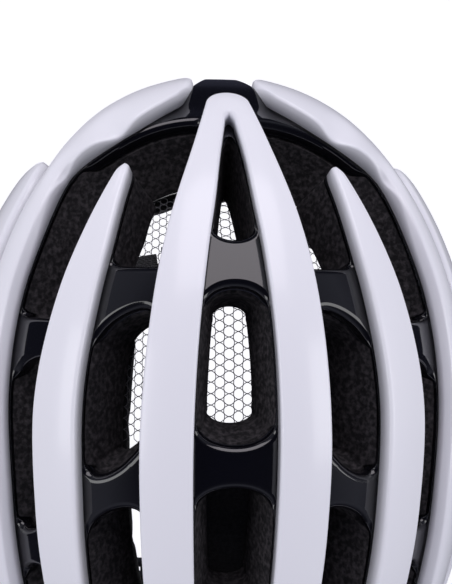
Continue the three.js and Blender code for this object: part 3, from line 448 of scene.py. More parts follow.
# %% Outer ribs
def spline(points, count):
    """An even path through (back, side) points: a Catmull-Rom spline, resampled by its length on the dome."""
    p = np.array(points, float)
    p = np.concatenate([[2 * p[0] - p[1]], p, [2 * p[-1] - p[-2]]])
    t = np.linspace(0, len(p) - 3 - 1e-9, 40 * len(p))
    i = t.astype(int)
    f = (t - i)[:, None]
    a, b, c, d = p[i], p[i + 1], p[i + 2], p[i + 3]
    path = 0.5 * (2 * b + (c - a) * f + (2 * a - 5 * b + 4 * c - d) * f**2 + (3 * b - a - 3 * c + d) * f**3)
    run = run_of(path)
    even = np.linspace(0, run[-1], count)
    return np.stack([np.interp(even, run, path[:, 0]), np.interp(even, run, path[:, 1])], 1)


leg = spaced(48, OUTER_END, 120)
horn_inner = spline([(21.0, 20.4), (23.5, 24.2), (28.2, 30.4), (32.3, 35.6), (36.1, 41.0),
                     (41.5, 48.8), (45.0, 52.0), (48, 52.4)], 90)[:-1]
horn_outer = spline([(13.4, 21.4), (12.4, 28), (14.5, 39), (20, 53), (28, 60.4), (37, 61.5), (45, 61),
                     (48, 61.0)], 90)[:-1]
edge_outer = np.concatenate([horn_outer, along_edge(outer_out, leg)])
edge_inner = np.concatenate([horn_inner, along_edge(outer_in, leg)])
inner_run = run_of(edge_inner)
ends = round_ends((run_of(edge_outer) + inner_run) / 2, 7, 12)
width = np.linalg.norm(dome(*edge_outer.T) - dome(*edge_inner.T), axis=-1)
across = rib_section(width * ends, near=3.2, far=4.0)[0]
share = across / across.max(axis=1, keepdims=True)
bell = lambda at, wide: np.exp(-((inner_run[:, None] - at) / wide) ** 2)
scoops = (3.4 * bell(34, 6.5) + 2.8 * bell(60, 6.5)) * ease(share, 0.35, 0.95)
bevel = 2.8 * np.clip((share - 0.68) / 0.32, 0, 1) ** 1.15 * ease(inner_run[:, None], 60, 95)
sink = 3.0 * ((1 - ends) ** 1.5)[:, None] + scoops + bevel
rib_pair("outer_rib", rib_bar(edge_outer, edge_inner, ends, sink, near=2.2, far=1.2))

# %% Side ribs
along = spaced(SIDE_TIP, SIDE_END, 130, 0.35)
edges = along_edge(side_out, along), along_edge(side_in, along)
ends = round_ends(run_of(edges[1]), 16, 12)
rib_pair("side_rib", rib_bar(*edges, ends, 3.0 * (1 - ends) ** 1.5, near=3.2, far=3.2, base=5.6))

# %% [markdown]
# ## Vent outlines
# A vent fills its channel between two ribs. Its outline starts as a four-sided figure that follows the rib
# edges. It is then spaced evenly in millimetres and blurred along its own length, which rounds its corners
# and leaves its straight sides alone. Where the outline runs along a rib the foam comes straight up to the
# rib; where it crosses a channel, at a bridge, the shell rolls over its edge. `bridge` is 1 there and 0
# along the ribs.

# %% Vent outlines
# The brow edge of the front vents: a back angle for each side angle.
arch = lambda side: 27.6 + 15.4 * (np.abs(side) / 52) ** 3.2


def rounded(path, corner, count=180):
    """A closed outline of `count` even points, its corners rounded by a bell-shaped blur `corner` mm wide."""
    path = np.concatenate([path, path[:1]])
    run = run_of(path)
    even = np.linspace(0, run[-1], count, endpoint=False)
    ring = np.stack([np.interp(even, run, path[:, 0]), np.interp(even, run, path[:, 1])], 1)
    offset = np.arange(count)
    gap = np.minimum(offset, count - offset) * run[-1] / count
    weight = np.exp(-0.5 * (gap / corner) ** 2)
    spread = np.fft.fft(weight / weight.sum())
    return np.stack([np.fft.ifft(np.fft.fft(ring[:, k]) * spread).real for k in (0, 1)], 1)


def channel_vent(start, stop, low, high, skew=0.0, corner=2.4, sag=2.6):
    """An outline between two rib edges from `start` to `stop`. Its ends are arches: at a share t from -1 to
    1 across the channel they stand back by sag (1 - (1 - t^2)^0.5). `skew` moves the high side back."""
    up = np.linspace(start - skew + sag, stop - skew - sag, 40)
    first, second = along_edge(low, up), along_edge(high, up + 2 * skew)[::-1]
    t = np.linspace(-1, 1, 26)[1:-1]
    sink = sag * (1 - np.sqrt(1 - t**2))
    between = lambda back: low(back) + (high(back) - low(back)) * (1 + t) / 2
    far_end = np.stack([stop + skew * t - sink, between(stop)], 1)
    near_end = np.stack([start + skew * t + sink, between(start)], 1)[::-1]
    return rounded(np.concatenate([first, far_end, second, near_end]), corner)


def tangent_of(ring):
    """Unit tangents of an outline in millimetres along `back` and across `side`."""
    along, across = stretch(ring[:, 0], ring[:, 1])
    tangent = (np.roll(ring, -1, 0) - np.roll(ring, 1, 0)) * np.stack([along, across], 1)
    return tangent / np.linalg.norm(tangent, axis=1, keepdims=True), np.stack([along, across], 1)


def bridge(ring, plain=()):
    """1 where the outline crosses its channel, 0 where it follows a rib: a smooth step of the tangent's
    share across. Near each (back, side, degrees) in `plain` it is 0 as well."""
    share = ease(np.abs(tangent_of(ring)[0][:, 1]), 0.22, 0.62)
    for back, side, reach in plain:
        share = share * ease(np.hypot(ring[:, 0] - back, (ring[:, 1] - side) * 0.6), reach, 1.8 * reach)
    return share


minus = lambda edge: (lambda back: -edge(back))
middle_vents = [channel_vent(33.0, 56.4, minus(centre_in), centre_in, corner=1.6, sag=3.0),
                channel_vent(64.6, 87.8, minus(centre_in), centre_in, sag=3.4),
                channel_vent(93.0, 112.6, minus(centre_in), centre_in, sag=3.2),
                channel_vent(117.4, 141.6, minus(centre_in), centre_in, sag=3.0)]
left_vents = [channel_vent(69.2, 91.2, centre_out, mid_in, 2.3),
              channel_vent(96.4, 116.6, centre_out, mid_in, 1.5),
              channel_vent(121.4, 146.6, centre_out, mid_in),
              channel_vent(77.4, 100.6, mid_out, outer_in, 1.5),
              channel_vent(106.4, 140.6, mid_out, outer_in),
              channel_vent(84, 103, outer_out, side_in),
              channel_vent(108, 132, outer_out, side_in)]

line = lambda edge, a, b: along_edge(edge, np.linspace(a, b, 30))
arc_side = np.linspace(centre_out(28) + 0.6, 50.8, 60)
NEAR_END, FAR_END = 61.4, 70.8
front_vent = rounded(np.concatenate([
    np.stack([arch(arc_side), arc_side], 1),
    line(outer_in, 46.5, FAR_END),
    line(mid_out, FAR_END, MID_TIP + 1.0),
    [[MID_TIP - 0.2, 31.0], [MID_TIP - 0.2, 28.8]],
    line(mid_in, MID_TIP + 1.0, NEAR_END),
    line(centre_out, NEAR_END, 29.5)]), 2.6, 420)
left_vents.insert(0, front_vent)


def offset_outline(ring, distance):
    """The outline moved outwards by `distance` millimetres, along the normal of its tangent on the dome."""
    tangent, scale = tangent_of(ring)
    area = np.sum(ring[:, 0] * np.roll(ring[:, 1], -1) - np.roll(ring[:, 0], -1) * ring[:, 1])
    normal = np.stack([tangent[:, 1], -tangent[:, 0]], 1) * np.sign(area)
    return ring + normal * np.broadcast_to(distance, len(ring))[:, None] / scale


flipped = lambda ring: (ring * [1, -1])[::-1]
plain_spots = [[(CROTCH + 2, 0, 4)], [], [], []] + [[(MID_TIP, 29.5, 4)]] + 7 * [[]]
vents = [(ring, bridge(ring, spots)) for ring, spots in zip(middle_vents + left_vents, plain_spots)]
vents += [(flipped(ring), share[::-1]) for ring, share in vents[len(middle_vents):]]
print(len(vents), "vents")

# %% [markdown]
# ## The black shell
# The shell is one closed skin over the foam. At each bridge it rolls over a 3 mm radius and turns down into
# the vent. The roll is a profile carried round the outline, which shrinks to the bare edge of the skin
# along the ribs; the skin itself is cut back to where the roll begins, so the reflection runs on from one
# to the other.

# %% Shell and rolled rims
SHELL = RIB_HEIGHT + 0.35
WALL = 0.9
ROLL = 3.0
CLEAR_ABOVE, CLEAR_BELOW = -6, 56  # depths outside the shell and in the head room, where a cutter ends
BEYOND = 200  # millimetres, further than the helmet reaches to any side
SPLIT, OVERLAP = 57.0, 0.4  # the level where the top shell meets the lower one, and how far each is cut past


def stack_rings(ring, profile):
    """Grid of an outline carried through (offset, depth) pairs, one row per pair; each may vary round the
    outline. A third number moves a row forward by so many degrees."""
    return np.stack([dome(*(offset_outline(ring, off) - [sum(ahead), 0]).T, depth)
                     for off, depth, *ahead in profile])


def whole_dome(depth, rows, cols, shape=OUTSIDE, brow=0.0):
    """A closed dome grid from pole to pole; the poles are closed by fans. `brow` raises it by so many
    millimetres between the horns, where the shell stands nearly as high as they do."""
    back = np.linspace(0, 180, rows + 2)[1:-1][:, None]
    side = np.linspace(-180, 180, cols, endpoint=False)[None, :]
    raised = brow * (1 - ease(back, 16, 24)) * (1 - ease(np.abs(side), 21, 30)) * ease(back, 3, 8)
    return dome(back, side, depth - raised, shape)


def carve(target, *cutters):
    """Takes cutter meshes out of a mesh with the exact manifold solver and applies the result."""
    host = bpy.data.objects.new("host", target)
    bpy.context.scene.collection.objects.link(host)
    tools = []
    for cutter in cutters:
        tool = bpy.data.objects.new("tool", cutter)
        bpy.context.scene.collection.objects.link(tool)
        modifier = host.modifiers.new("cut", "BOOLEAN")
        modifier.object, modifier.operation, modifier.solver = tool, "DIFFERENCE", "MANIFOLD"
        tools.append(tool)
    result = bpy.data.meshes.new_from_object(host.evaluated_get(bpy.context.evaluated_depsgraph_get()))
    for used in [host] + tools:
        bpy.data.objects.remove(used)
    return result


def block(low, high):
    """A closed box between two corners, in millimetres."""
    (x0, y0, z0), (x1, y1, z1) = low, high
    ring = lambda z: [(x0, y0, z), (x1, y0, z), (x1, y1, z), (x0, y1, z)]
    return np.array([ring(z0), ring(z1)], float)


rim_height = through((0, 31), (30, 26), (60, 9), (95, 17), (130, 7), (155, 0), (180, 0))


def under_rim(drop=0.0):
    """Everything below the rim: rings from the axis out to 230 mm whose height follows the bearing from the
    front."""
    bearing = np.linspace(0, 2 * np.pi, 240, endpoint=False)
    level = rim_height(np.degrees(np.arccos(np.cos(bearing)))) - drop
    rings = [(0.01, -200, 0), (230, -200, 0), (230, 0, 1), (55, 0, 1), (0.01, 12 - drop, 0)]
    return np.stack([np.stack([r * np.sin(bearing), -r * np.cos(bearing), level * follow + height], 1)
                     for r, height, follow in rings])


def closed(*grids, **options):
    build = Build()
    for points in grids:
        build.grid(points, **options)
    return build


wide_cut = closed(*[stack_rings(ring, [(ROLL * share, CLEAR_ABOVE), (ROLL * share, 24)])
                    for ring, share in vents]).mesh("wide_cut")
BROW_RISE = 4.4
skin = closed(whole_dome(SHELL, 180, 240, brow=BROW_RISE)).mesh("skin")
hollow = closed(whole_dome(SHELL + WALL, 110, 160)).mesh("hollow")
lower_half = closed(block((-BEYOND, -BEYOND, -BEYOND), (BEYOND, BEYOND, SPLIT + OVERLAP))).mesh("lower_half")
top_skin = carve(skin.copy(), hollow, wide_cut, lower_half)
turn = np.linspace(0, np.pi / 2, 9)
rolls = Build()
for ring, share in vents:
    outer = [(ROLL * share * (1 - math.sin(t)), SHELL + ROLL * share * (1 - math.cos(t))) for t in turn]
    tail = [(0 * share, SHELL + WALL * 0.9 + share * 4.2), (0.3 * share, SHELL + WALL + share * 5.0),
            (1.0 * share, SHELL + WALL + share * 5.0), (ROLL * share - 0.05, SHELL + WALL + share * 3.2),
            (ROLL * share, SHELL + WALL)]
    rolls.grid(np.moveaxis(stack_rings(ring, outer + tail), 0, 1), wrap_rows=True)
roll_mesh = rolls.mesh("rolls", angle=50)
top_skin.set_sharp_from_angle(angle=math.radians(35))
piece("top_shell_polished", top_skin, piano_black, "helmet", ["top_shell"])
piece("vent_rims", roll_mesh, piano_black, "helmet")
low_room = closed(whole_dome(-3, 90, 140, INSIDE)).mesh("low_room")
upper_half = closed(block((-BEYOND, -BEYOND, SPLIT - OVERLAP), (BEYOND, BEYOND, 260))).mesh("upper_half")
rim_cut = closed(under_rim(2.2)).mesh("rim_cut")
foam_room = carve(closed(whole_dome(SHELL + WALL, 110, 160)).mesh("foam_room"),
                  closed(under_rim(0.35)).mesh("rim_room"))
low_skin = carve(skin.copy(), foam_room, low_room, rim_cut, wide_cut.copy(), upper_half)
low_skin.set_sharp_from_angle(angle=math.radians(35))
piece("lower_shell_polished", low_skin, piano_black, "helmet", ["lower_shell"])

# %% [markdown]
# ## The foam liner
# The liner is the thick part between the shell and the head. Its vents narrow like a funnel to an edge a
# dozen millimetres down, and go on more steeply from there, as a mould needs. Under each front vent a wide
# air channel joins both sides of the mid rib, so that rib ends in a free blade of foam, 22 mm deep.

# %% Foam liner
FOAM = SHELL + 1.25
BLADE = 22.5


def vent_tool(ring, share, funnel, throat):
    """A stepped cutter. At a bridge it is wide down to the seat of the rolled rim; along a rib it starts at
    the rib itself. Below that it narrows by `funnel` to an edge, and by `throat` more to the head room. The
    cutter leans forward by up to a degree on its way down, because the air comes from the front."""
    narrow = 1 - 0.3 * share
    seat = SHELL + WALL + 5.4 * share
    mouth, end = (ROLL + 0.15) * share, -(funnel + throat) * narrow
    return stack_rings(ring, [
        (mouth, CLEAR_ABOVE), (mouth, seat), (-0.3 * share, seat + 0.4),
        (-0.3 * share - 0.2 * funnel * narrow, seat + 3.0, 0.1), (-funnel * narrow, 21.0, 0.8),
        (-(funnel + 0.5 * throat) * narrow, 22.5, 0.9), (end, 34.0, 1.0), (end, CLEAR_BELOW, 1.0)])


tapers = [(0.8, 0.8), (2.9, 1.2), (3.0, 1.6), (3.0, 1.6), (0.3, 0.6), (2.2, 0.8), (3.0, 1.6), (3.0, 1.6),
          (2.0, 1.4), (2.0, 1.4), (1.4, 0.8), (1.4, 0.8)]
tapers += tapers[len(middle_vents):]
vent_tools = [vent_tool(ring, share, *taper) for (ring, share), taper in zip(vents, tapers)]
vent_cut = closed(*vent_tools).mesh("vent_cut")
channel_side = np.linspace(centre_out(30) + 1.0, 50.0, 40)
channel_ring = rounded(np.concatenate([
    np.stack([arch(channel_side) + 1.0, channel_side], 1), line(outer_in, 46.5, FAR_END - 3),
    [[FAR_END - 1, 45.0], [NEAR_END + 2, 33.0], [NEAR_END - 1, 24.0]],
    line(centre_out, NEAR_END - 3, 32)]), 3.0, 240)
air_channels = [stack_rings(ring, [(-0.6, BLADE), (-1.2, CLEAR_BELOW)])
                for ring in (channel_ring, flipped(channel_ring))]
liner = closed(whole_dome(FOAM, 150, 220)).mesh("liner")
head_room = closed(whole_dome(0, 110, 160, INSIDE)).mesh("head_room")
liner = carve(liner, head_room, closed(under_rim()).mesh("rim_plane"), vent_cut,
              closed(*air_channels).mesh("air_channels"))
liner.set_sharp_from_angle(angle=math.radians(32))
piece("foam_liner_moulded", liner, bead_foam, "helmet", ["foam_liner"])

# %% [markdown]
# ## The insect net
# Behind the front and crown vents a fine knitted net is welded to the foam. Its thread runs in rounded
# cells that touch their neighbours, 4 mm apart in a honeycomb. Each cell is one thin closed ring of thread,
# made once as an array of twelve directions and copied to every place of the honeycomb at the same time.

# %% Insect net
PITCH = 4.1
THREAD = 0.16
NET_DEPTH = 1.7
ROUND_CELL, ROUND_THREAD = 12, 4  # points round a cell, and round its thread
ROW_STEP = 0.866  # of a pitch, between the rows of a honeycomb


def honeycomb(width, length, pitch):
    """Centres of a honeycomb in millimetres: every other row is moved by half a pitch."""
    cols, rows = int(width / (ROW_STEP * pitch)), int(length / pitch)
    i, j = np.meshgrid(*(np.arange(-count // 2, count // 2 + 1) for count in (cols, rows)), indexing="ij")
    return (i * ROW_STEP * pitch).ravel(), ((j + 0.5 * (i % 2)) * pitch).ravel()


def on_net(u, v, depth):
    """A flat place (u across, v back, in millimetres) laid on the inner dome: v is a length along the crown
    line, and u a length across it, divided by what a degree of `side` measures there."""
    back_table = np.linspace(20, 110, 400)
    crown = dome(back_table, 0, NET_DEPTH, INSIDE)
    length = np.concatenate([[0], np.cumsum(np.linalg.norm(np.diff(crown, axis=0), axis=1))])
    back = np.interp(v + np.interp(56, back_table, length), length, back_table)
    across = dome(back, 1, NET_DEPTH, INSIDE) - dome(back, -1, NET_DEPTH, INSIDE)
    per_degree = np.linalg.norm(across, axis=-1) / 2
    return dome(back, np.clip(u / per_degree, -60, 60), depth, INSIDE)


cell_u, cell_v = honeycomb(150, 130, PITCH)
kept = (cell_v > -43) & (cell_v < 56) & (np.abs(cell_u) < 64)
cell_u, cell_v = cell_u[kept], cell_v[kept]
spin = np.linspace(0, 2 * np.pi, ROUND_CELL, endpoint=False)
girth = np.linspace(0, 2 * np.pi, ROUND_THREAD, endpoint=False)
rounding = PITCH / 2 * (1.0 + 0.055 * np.cos(6 * spin + np.pi))
out = rounding[:, None] + THREAD * np.cos(girth)[None, :]
below = THREAD * np.sin(girth)[None, :] + 0 * out
ring_u, ring_v = out * np.cos(spin)[:, None], out * np.sin(spin)[:, None]
weave_lift = 0.16 * np.sin(3 * spin)[:, None]
net_points = on_net(cell_u[:, None, None] + ring_u, cell_v[:, None, None] + ring_v,
                    NET_DEPTH + below + weave_lift)
cell_quads = grid_faces(ROUND_CELL, ROUND_THREAD, wrap_rows=True)
first_points = ROUND_CELL * ROUND_THREAD * np.arange(len(cell_u))
all_quads = (cell_quads[None] + first_points[:, None, None]).reshape(-1, 4)
if body_volume(net_points[0].reshape(-1, 3), cell_quads) < 0:
    all_quads = all_quads[:, ::-1]
net_mesh = bpy.data.meshes.new("net")
net_mesh.from_pydata((net_points.reshape(-1, 3) * MM).tolist(), [], all_quads.tolist())
net_mesh.shade_smooth()
piece("insect_net_thread", net_mesh, net_yarn, "helmet", ["insect_net"])
print(len(cell_u), "cells of thread")

# %% [markdown]
# ## Comfort pads
# The pads are thin foam under a brushed knit, welded flat round their edges. Such a pad is a grid with two
# faces: its thickness rises from the weld as a quarter of a superellipse and is full in the middle, and
# shallow channels are pressed across it. The knit is a fine noise of short fibres with a soft sheen.

# %% Pad maker
pad_knit = finish("pad_knit", (0.012, 0.012, 0.014), 0.95, Sheen_Weight=0.35, Sheen_Roughness=0.4)
mottle(pad_knit, 900.0, (0.008, 0.008, 0.010), (0.022, 0.022, 0.026), 0.35, 0.7, 3.0)
grain(pad_knit, 2200.0, 0.00025)


def crown_of(u, v, power=2.6, weld=0.12, channels=()):
    """How full a pad is at shares u, v from -1 to 1: (1 - |u|^p)^(1/p) in both directions, over a thin
    weld, less a bell-shaped channel at each given share of u."""
    full = (1 - np.abs(u) ** (2 * power)) ** (1 / power) * (1 - np.abs(v) ** (2 * power)) ** (1 / power)
    for at in channels:
        full = full * (1 - 0.45 * np.exp(-((u - at) / 0.06) ** 2))
    return weld + (1 - weld) * full


def pad_shape(place, rows=60, cols=40, **crown):
    """A closed pad: `place(u, v, height)` gives points for shares u, v and a height from 0 at its back to 1
    at its face. The columns run over the face and back under it."""
    u = np.sin(np.linspace(-np.pi / 2, np.pi / 2, rows))[:, None] * 0.999
    v = np.sin(np.linspace(-np.pi / 2, np.pi / 2, cols))[None, :]
    face = place(u + 0 * v, v + 0 * u, crown_of(u, v, **crown))
    back = place(u + 0 * v, v + 0 * u, np.zeros((rows, cols)))
    return np.concatenate([face, back[:, ::-1]], axis=1)


def pad_piece(node, build, body):
    """A knitted pad that stands for the CAD node it is named after."""
    made = piece(f"{node}_knit", build.mesh(f"{node}_knit"), pad_knit, body, [node])


def lining_pad(node, backs, sides, **crown):
    """A pad on the inside of the liner: u runs back and v runs across, between 3 and 9 mm inside the head
    room."""
    def place(u, v, height):
        back = np.mean(backs) + (backs[1] - backs[0]) / 2 * u
        side = np.mean(sides) + (sides[1] - sides[0]) / 2 * v
        return dome(back, side, 3.0 + 6.0 * height, INSIDE)
    pad_piece(node, closed(pad_shape(place, **crown)), "helmet")


# %% Pads in the liner
lining_pad("crown_pad", (90, 132), (-9, 9), channels=(-0.33, 0.33))
for name, sign in (("left", 1), ("right", -1)):
    lining_pad(f"{name}_crown_pad", (68, 128), (28 * sign, 40 * sign), channels=(-0.4, 0, 0.4))
    lining_pad(f"{name}_side_pad", (78, 122), (58 * sign, 76 * sign), channels=(-0.33, 0.33))
lining_pad("rear_pad", (140, 152), (-40, 40))

# %% [markdown]
# ## Brow band and brow pad
# A thin plastic band runs round the forehead, and a long pad is snapped to it. Both are upright strips on
# an ellipse; the pad swells towards the head between its welded edges, in six sewn sections.

# %% Brow band and brow pad
matt_plastic = finish("matt_plastic", (0.014, 0.014, 0.016), 0.42)
patchy(matt_plastic, 60.0, 0.38, 0.5, 0.3, 0.7, 3.0)
grain(matt_plastic, 1400.0, 0.00006)


def head_ellipse(bearing, out, z, half=71.0, reach=93.5):
    """A place on an upright band round the head, `out` mm outside its ellipse, at a bearing from the
    front."""
    b = np.radians(bearing)
    return np.stack(np.broadcast_arrays((half + out) * np.sin(b), -(reach + out) * np.cos(b), z), axis=-1)


bearing = np.linspace(-62, 62, 120)[:, None]
turn = np.linspace(0, 2 * np.pi, 24, endpoint=False)[None, :]
brow_strip = head_ellipse(bearing, 0.8 + 0.8 * signed_power(np.cos(turn), 0.6),
                          40.5 + 4.5 * signed_power(np.sin(turn), 0.6))
brow_mesh = closed(brow_strip).mesh("brow_band", angle=40)
piece("brow_band_moulded", brow_mesh, matt_plastic, "helmet", ["brow_band"])


def brow_place(u, v, height):
    return head_ellipse(58 * u, -0.35 - 6.0 * height, 38.5 + 9.5 * v)


BROW_SEAMS = (-0.72, -0.43, -0.14, 0.14, 0.43, 0.72)
pad_piece("brow_pad", closed(pad_shape(brow_place, rows=150, channels=BROW_SEAMS)), "helmet")

# %% [markdown]
# ## Moulded parts
# The small hard parts have the CAD's own shapes, but a moulded part never has a knife edge. Their doubled
# corner points are merged, and a bevel rolls every sharp edge. The fit arms and the cradle are made this
# way too.

# %% Moulded parts
rubber = finish("soft_rubber", (0.016, 0.016, 0.018), 0.62, Specular_IOR_Level=0.35)
patchy(rubber, 220.0, 0.56, 0.72, 0.35, 0.65, 3.0)
grain(rubber, 1600.0, 0.0001)
brushed_steel = finish("brushed_steel", (0.55, 0.55, 0.56), 0.28, Metallic=1.0)
patchy(brushed_steel, 400.0, 0.22, 0.38, 0.3, 0.7, 2.0)
grain(brushed_steel, 900.0, 0.00002)
SHARP = 32  # degrees between two faces, past which their edge is rolled


def moulded(node, material, body, width):
    """A piece with the shape of a CAD node: points closer than 0.01 mm are merged and sharp edges get a
    bevel of `width` millimetres."""
    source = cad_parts[node]
    shape = source.data.copy()
    shape.transform(source.matrix_world)
    work = bmesh.new()
    work.from_mesh(shape)
    bmesh.ops.remove_doubles(work, verts=work.verts, dist=0.00001)
    bmesh.ops.dissolve_limit(work, angle_limit=math.radians(1.5), verts=work.verts, edges=work.edges)
    work.to_mesh(shape)
    work.free()
    for layer in list(shape.uv_layers):
        shape.uv_layers.remove(layer)
    shape.shade_smooth()
    shape.set_sharp_from_angle(angle=math.radians(SHARP))
    made = piece(f"{node}_moulded", shape, material, body, [node])
    bevel = made.modifiers.new("rolled_edges", "BEVEL")
    bevel.width, bevel.segments, bevel.limit_method = width * MM, 2, "ANGLE"
    bevel.angle_limit, bevel.harden_normals = math.radians(SHARP), True


for side in ("left", "right"):
    for part, body, width in (("temple_anchor", "helmet", 0.6), ("temple_swivel", "fit_frame", 0.3),
                              ("front_strap_anchor", "helmet", 0.4), ("rear_strap_anchor", "helmet", 0.4),
                              ("strap_divider", "helmet", 0.5), ("cam_lever", f"{side}_lever", 0.35),
                              ("fit_arm", f"{side}_arm", 0.3)):
        moulded(f"{side}_{part}", matt_plastic, body, width)
    moulded(f"{side}_cam_pin", brushed_steel, "helmet", 0.15)
for part, body, width in (("buckle_socket", "helmet", 0.55), ("buckle_tongue", "tongue", 0.5),
                          ("buckle_front_prong", "tongue", 0.3), ("buckle_rear_prong", "tongue", 0.3),
                          ("dial_housing", "cradle_unit", 0.8), ("cradle", "cradle_unit", 0.6),
                          ("pinion", "dial", 0.12), ("dial_knob", "dial", 0.35)):
    moulded(part, matt_plastic, body, width)
moulded("dial_screw", brushed_steel, "dial", 0.2)
moulded("dial_grip", rubber, "dial", 0.3)

# %% Cradle pads
def cradle_place(middle):
    """A pad on the cradle's face: x and z follow the shares u and v, and the height comes off towards the
    head."""
    def place(u, v, height):
        x, y, z = middle + 10.0 * u, 85.7 - 4.0 * height, -24.0 + 13.6 * v
        return np.stack(np.broadcast_arrays(x, y, z), axis=-1)
    return place


for side, middle in (("left", 12.0), ("right", -12.0)):
    pad_grid = pad_shape(cradle_place(middle), rows=40, cols=50, power=2.2)
    pad_piece(f"{side}_cradle_pad", closed(pad_grid), "cradle_unit")

# %% [markdown]
# ## Bands that follow a curve
# The straps and the sleeves round them are flat bands. A centripetal Catmull-Rom curve runs through the
# given places at even steps of length; at each step the band's face is the part of a wanted direction that
# is square to the curve, and its section is a flat superellipse.

# %% Bands
def curve_through(points, count, dense=60):
    """Places at even lengths on a centripetal Catmull-Rom curve: between two points the knots are spaced by
    the square root of the distance, and the ends continue the first and last legs."""
    p = np.asarray(points, float)
    p = np.vstack([2 * p[0] - p[1], p, 2 * p[-1] - p[-2]])
    knots = np.concatenate([[0], np.cumsum(np.linalg.norm(np.diff(p, axis=0), axis=1) ** 0.5)])
    out = []
    for i in range(1, len(p) - 2):
        k = knots[i - 1:i + 3]
        t = np.linspace(k[1], k[2], dense, endpoint=i == len(p) - 3)[:, None]
        a1 = ((k[1] - t) * p[i - 1] + (t - k[0]) * p[i]) / (k[1] - k[0])
        a2 = ((k[2] - t) * p[i] + (t - k[1]) * p[i + 1]) / (k[2] - k[1])
        a3 = ((k[3] - t) * p[i + 1] + (t - k[2]) * p[i + 2]) / (k[3] - k[2])
        b1 = ((k[2] - t) * a1 + (t - k[0]) * a2) / (k[2] - k[0])
        b2 = ((k[3] - t) * a2 + (t - k[1]) * a3) / (k[3] - k[1])
        out.append(((k[2] - t) * b1 + (t - k[1]) * b2) / (k[2] - k[1]))
    path = np.vstack(out)
    length = np.concatenate([[0], np.cumsum(np.linalg.norm(np.diff(path, axis=0), axis=1))])
    even = np.linspace(0, length[-1], count)
    return np.stack([np.interp(even, length, path[:, i]) for i in range(3)], 1), length[-1]


def band(path, face, width, thick, columns, power):
    """Sections across a path: side = tangent x face, and a section point is half the width times
    cos(a)^power along the side plus half the thickness times sin(a)^power along the face."""
    along = np.gradient(path, axis=0)
    along /= np.linalg.norm(along, axis=1, keepdims=True)
    face = face - along * np.einsum("ij,ij->i", face, along)[:, None]
    face /= np.linalg.norm(face, axis=1, keepdims=True)
    side = np.cross(along, face)
    a = np.linspace(0, 2 * np.pi, columns, endpoint=False)
    wide = np.broadcast_to(np.asarray(width, float), (len(path),))[:, None, None] / 2
    deep = np.broadcast_to(np.asarray(thick, float), (len(path),))[:, None, None] / 2
    return (path[:, None] + side[:, None] * wide * signed_power(np.cos(a), power)[None, :, None]
            + face[:, None] * deep * signed_power(np.sin(a), power)[None, :, None])

# %% [markdown]
# ## Webbing
# The straps are 15 mm polyester webbing. Its weave follows the strap: one map coordinate counts millimetres
# across it and the other counts them along it. Warp cords run along the strap, and each one rises and sinks
# half a step after its neighbour, which draws the fine herring-bone of real webbing. The two edges are
# rounded selvedges.

# %% Webbing
webbing_yarn = finish("webbing_yarn", (0.012, 0.012, 0.014), 0.6, Sheen_Weight=0.25, Sheen_Roughness=0.35)


def woven(material, cord, step, height):
    """Relief of a warp-faced weave, where u and v are the map's millimetres: the lift of a cord is
    (1 + sin(2 pi (v / step + u / (2 cord)))) / 2, and the relief is (1.3 + cos(2 pi u / cord)) times
    (0.35 + lift). The lift also lightens the yarn's colour: a painted sheen on the raised cords and painted
    shade on the sunk ones."""
    tree = material.node_tree

    def math_node(kind, *values):
        node = tree.nodes.new("ShaderNodeMath")
        node.operation = kind
        for i, value in enumerate(values):
            if isinstance(value, (int, float)):
                node.inputs[i].default_value = value
            else:
                tree.links.new(value, node.inputs[i])
        return node.outputs[0]

    uv = tree.nodes.new("ShaderNodeUVMap")
    uv.uv_map = "weave"
    split = tree.nodes.new("ShaderNodeSeparateXYZ")
    tree.links.new(uv.outputs["UV"], split.inputs["Vector"])
    u, v = split.outputs["X"], split.outputs["Y"]
    cords = math_node("COSINE", math_node("MULTIPLY", u, 2 * math.pi / cord))
    phase = math_node("ADD", math_node("MULTIPLY", v, 2 * math.pi / step),
                      math_node("MULTIPLY", u, math.pi / cord))
    lift = math_node("MULTIPLY_ADD", math_node("SINE", phase), 0.5, 0.5)
    relief = math_node("MULTIPLY", math_node("ADD", cords, 1.3), math_node("ADD", lift, 0.35))
    emboss(tree, relief, height)
    # Painted sheen and shade: the yarn's colour is mixed lighter where a cord rises and darker where it
    # sinks.
    painted_cord_sheen = tree.nodes.new("ShaderNodeMix")
    painted_cord_sheen.data_type = "RGBA"
    painted_cord_sheen.inputs["A"].default_value = (0.006, 0.006, 0.007, 1)
    painted_cord_sheen.inputs["B"].default_value = (0.026, 0.026, 0.030, 1)
    tree.links.new(lift, painted_cord_sheen.inputs["Factor"])
    tree.links.new(painted_cord_sheen.outputs["Result"], tree.nodes["Principled BSDF"].inputs["Base Color"])


woven(webbing_yarn, 1.1, 1.9, 0.00022)
WEB_WIDTH, WEB_THICK, WEB_ROUND = 15.0, 1.5, 0.4


def strap(name, node, points, face_of, body, count=90, columns=44):
    """A flat strap along a curve; `face_of` gives its face's direction for shares from 0 to 1."""
    path, length = curve_through(points, count)
    share = np.linspace(0, 1, count)
    sections = band(path, face_of(share), WEB_WIDTH, WEB_THICK, columns, WEB_ROUND)
    mesh = closed(sections).mesh(name, angle=60)
    a = np.linspace(0, 2 * np.pi, columns, endpoint=False)
    across = np.tile(WEB_WIDTH / 2 * signed_power(np.cos(a), WEB_ROUND), count)
    along = np.repeat(share * length, columns)
    uv = np.stack([np.append(across, [0, 0]), np.append(along, [0, length])], 1)
    corner = np.empty(len(mesh.loops), int)
    mesh.loops.foreach_get("vertex_index", corner)
    mesh.uv_layers.new(name="weave").data.foreach_set("uv", uv[corner].ravel())
    print(name, "is", round(length, 1), "mm long")
    return piece(name, mesh, webbing_yarn, body, [node])


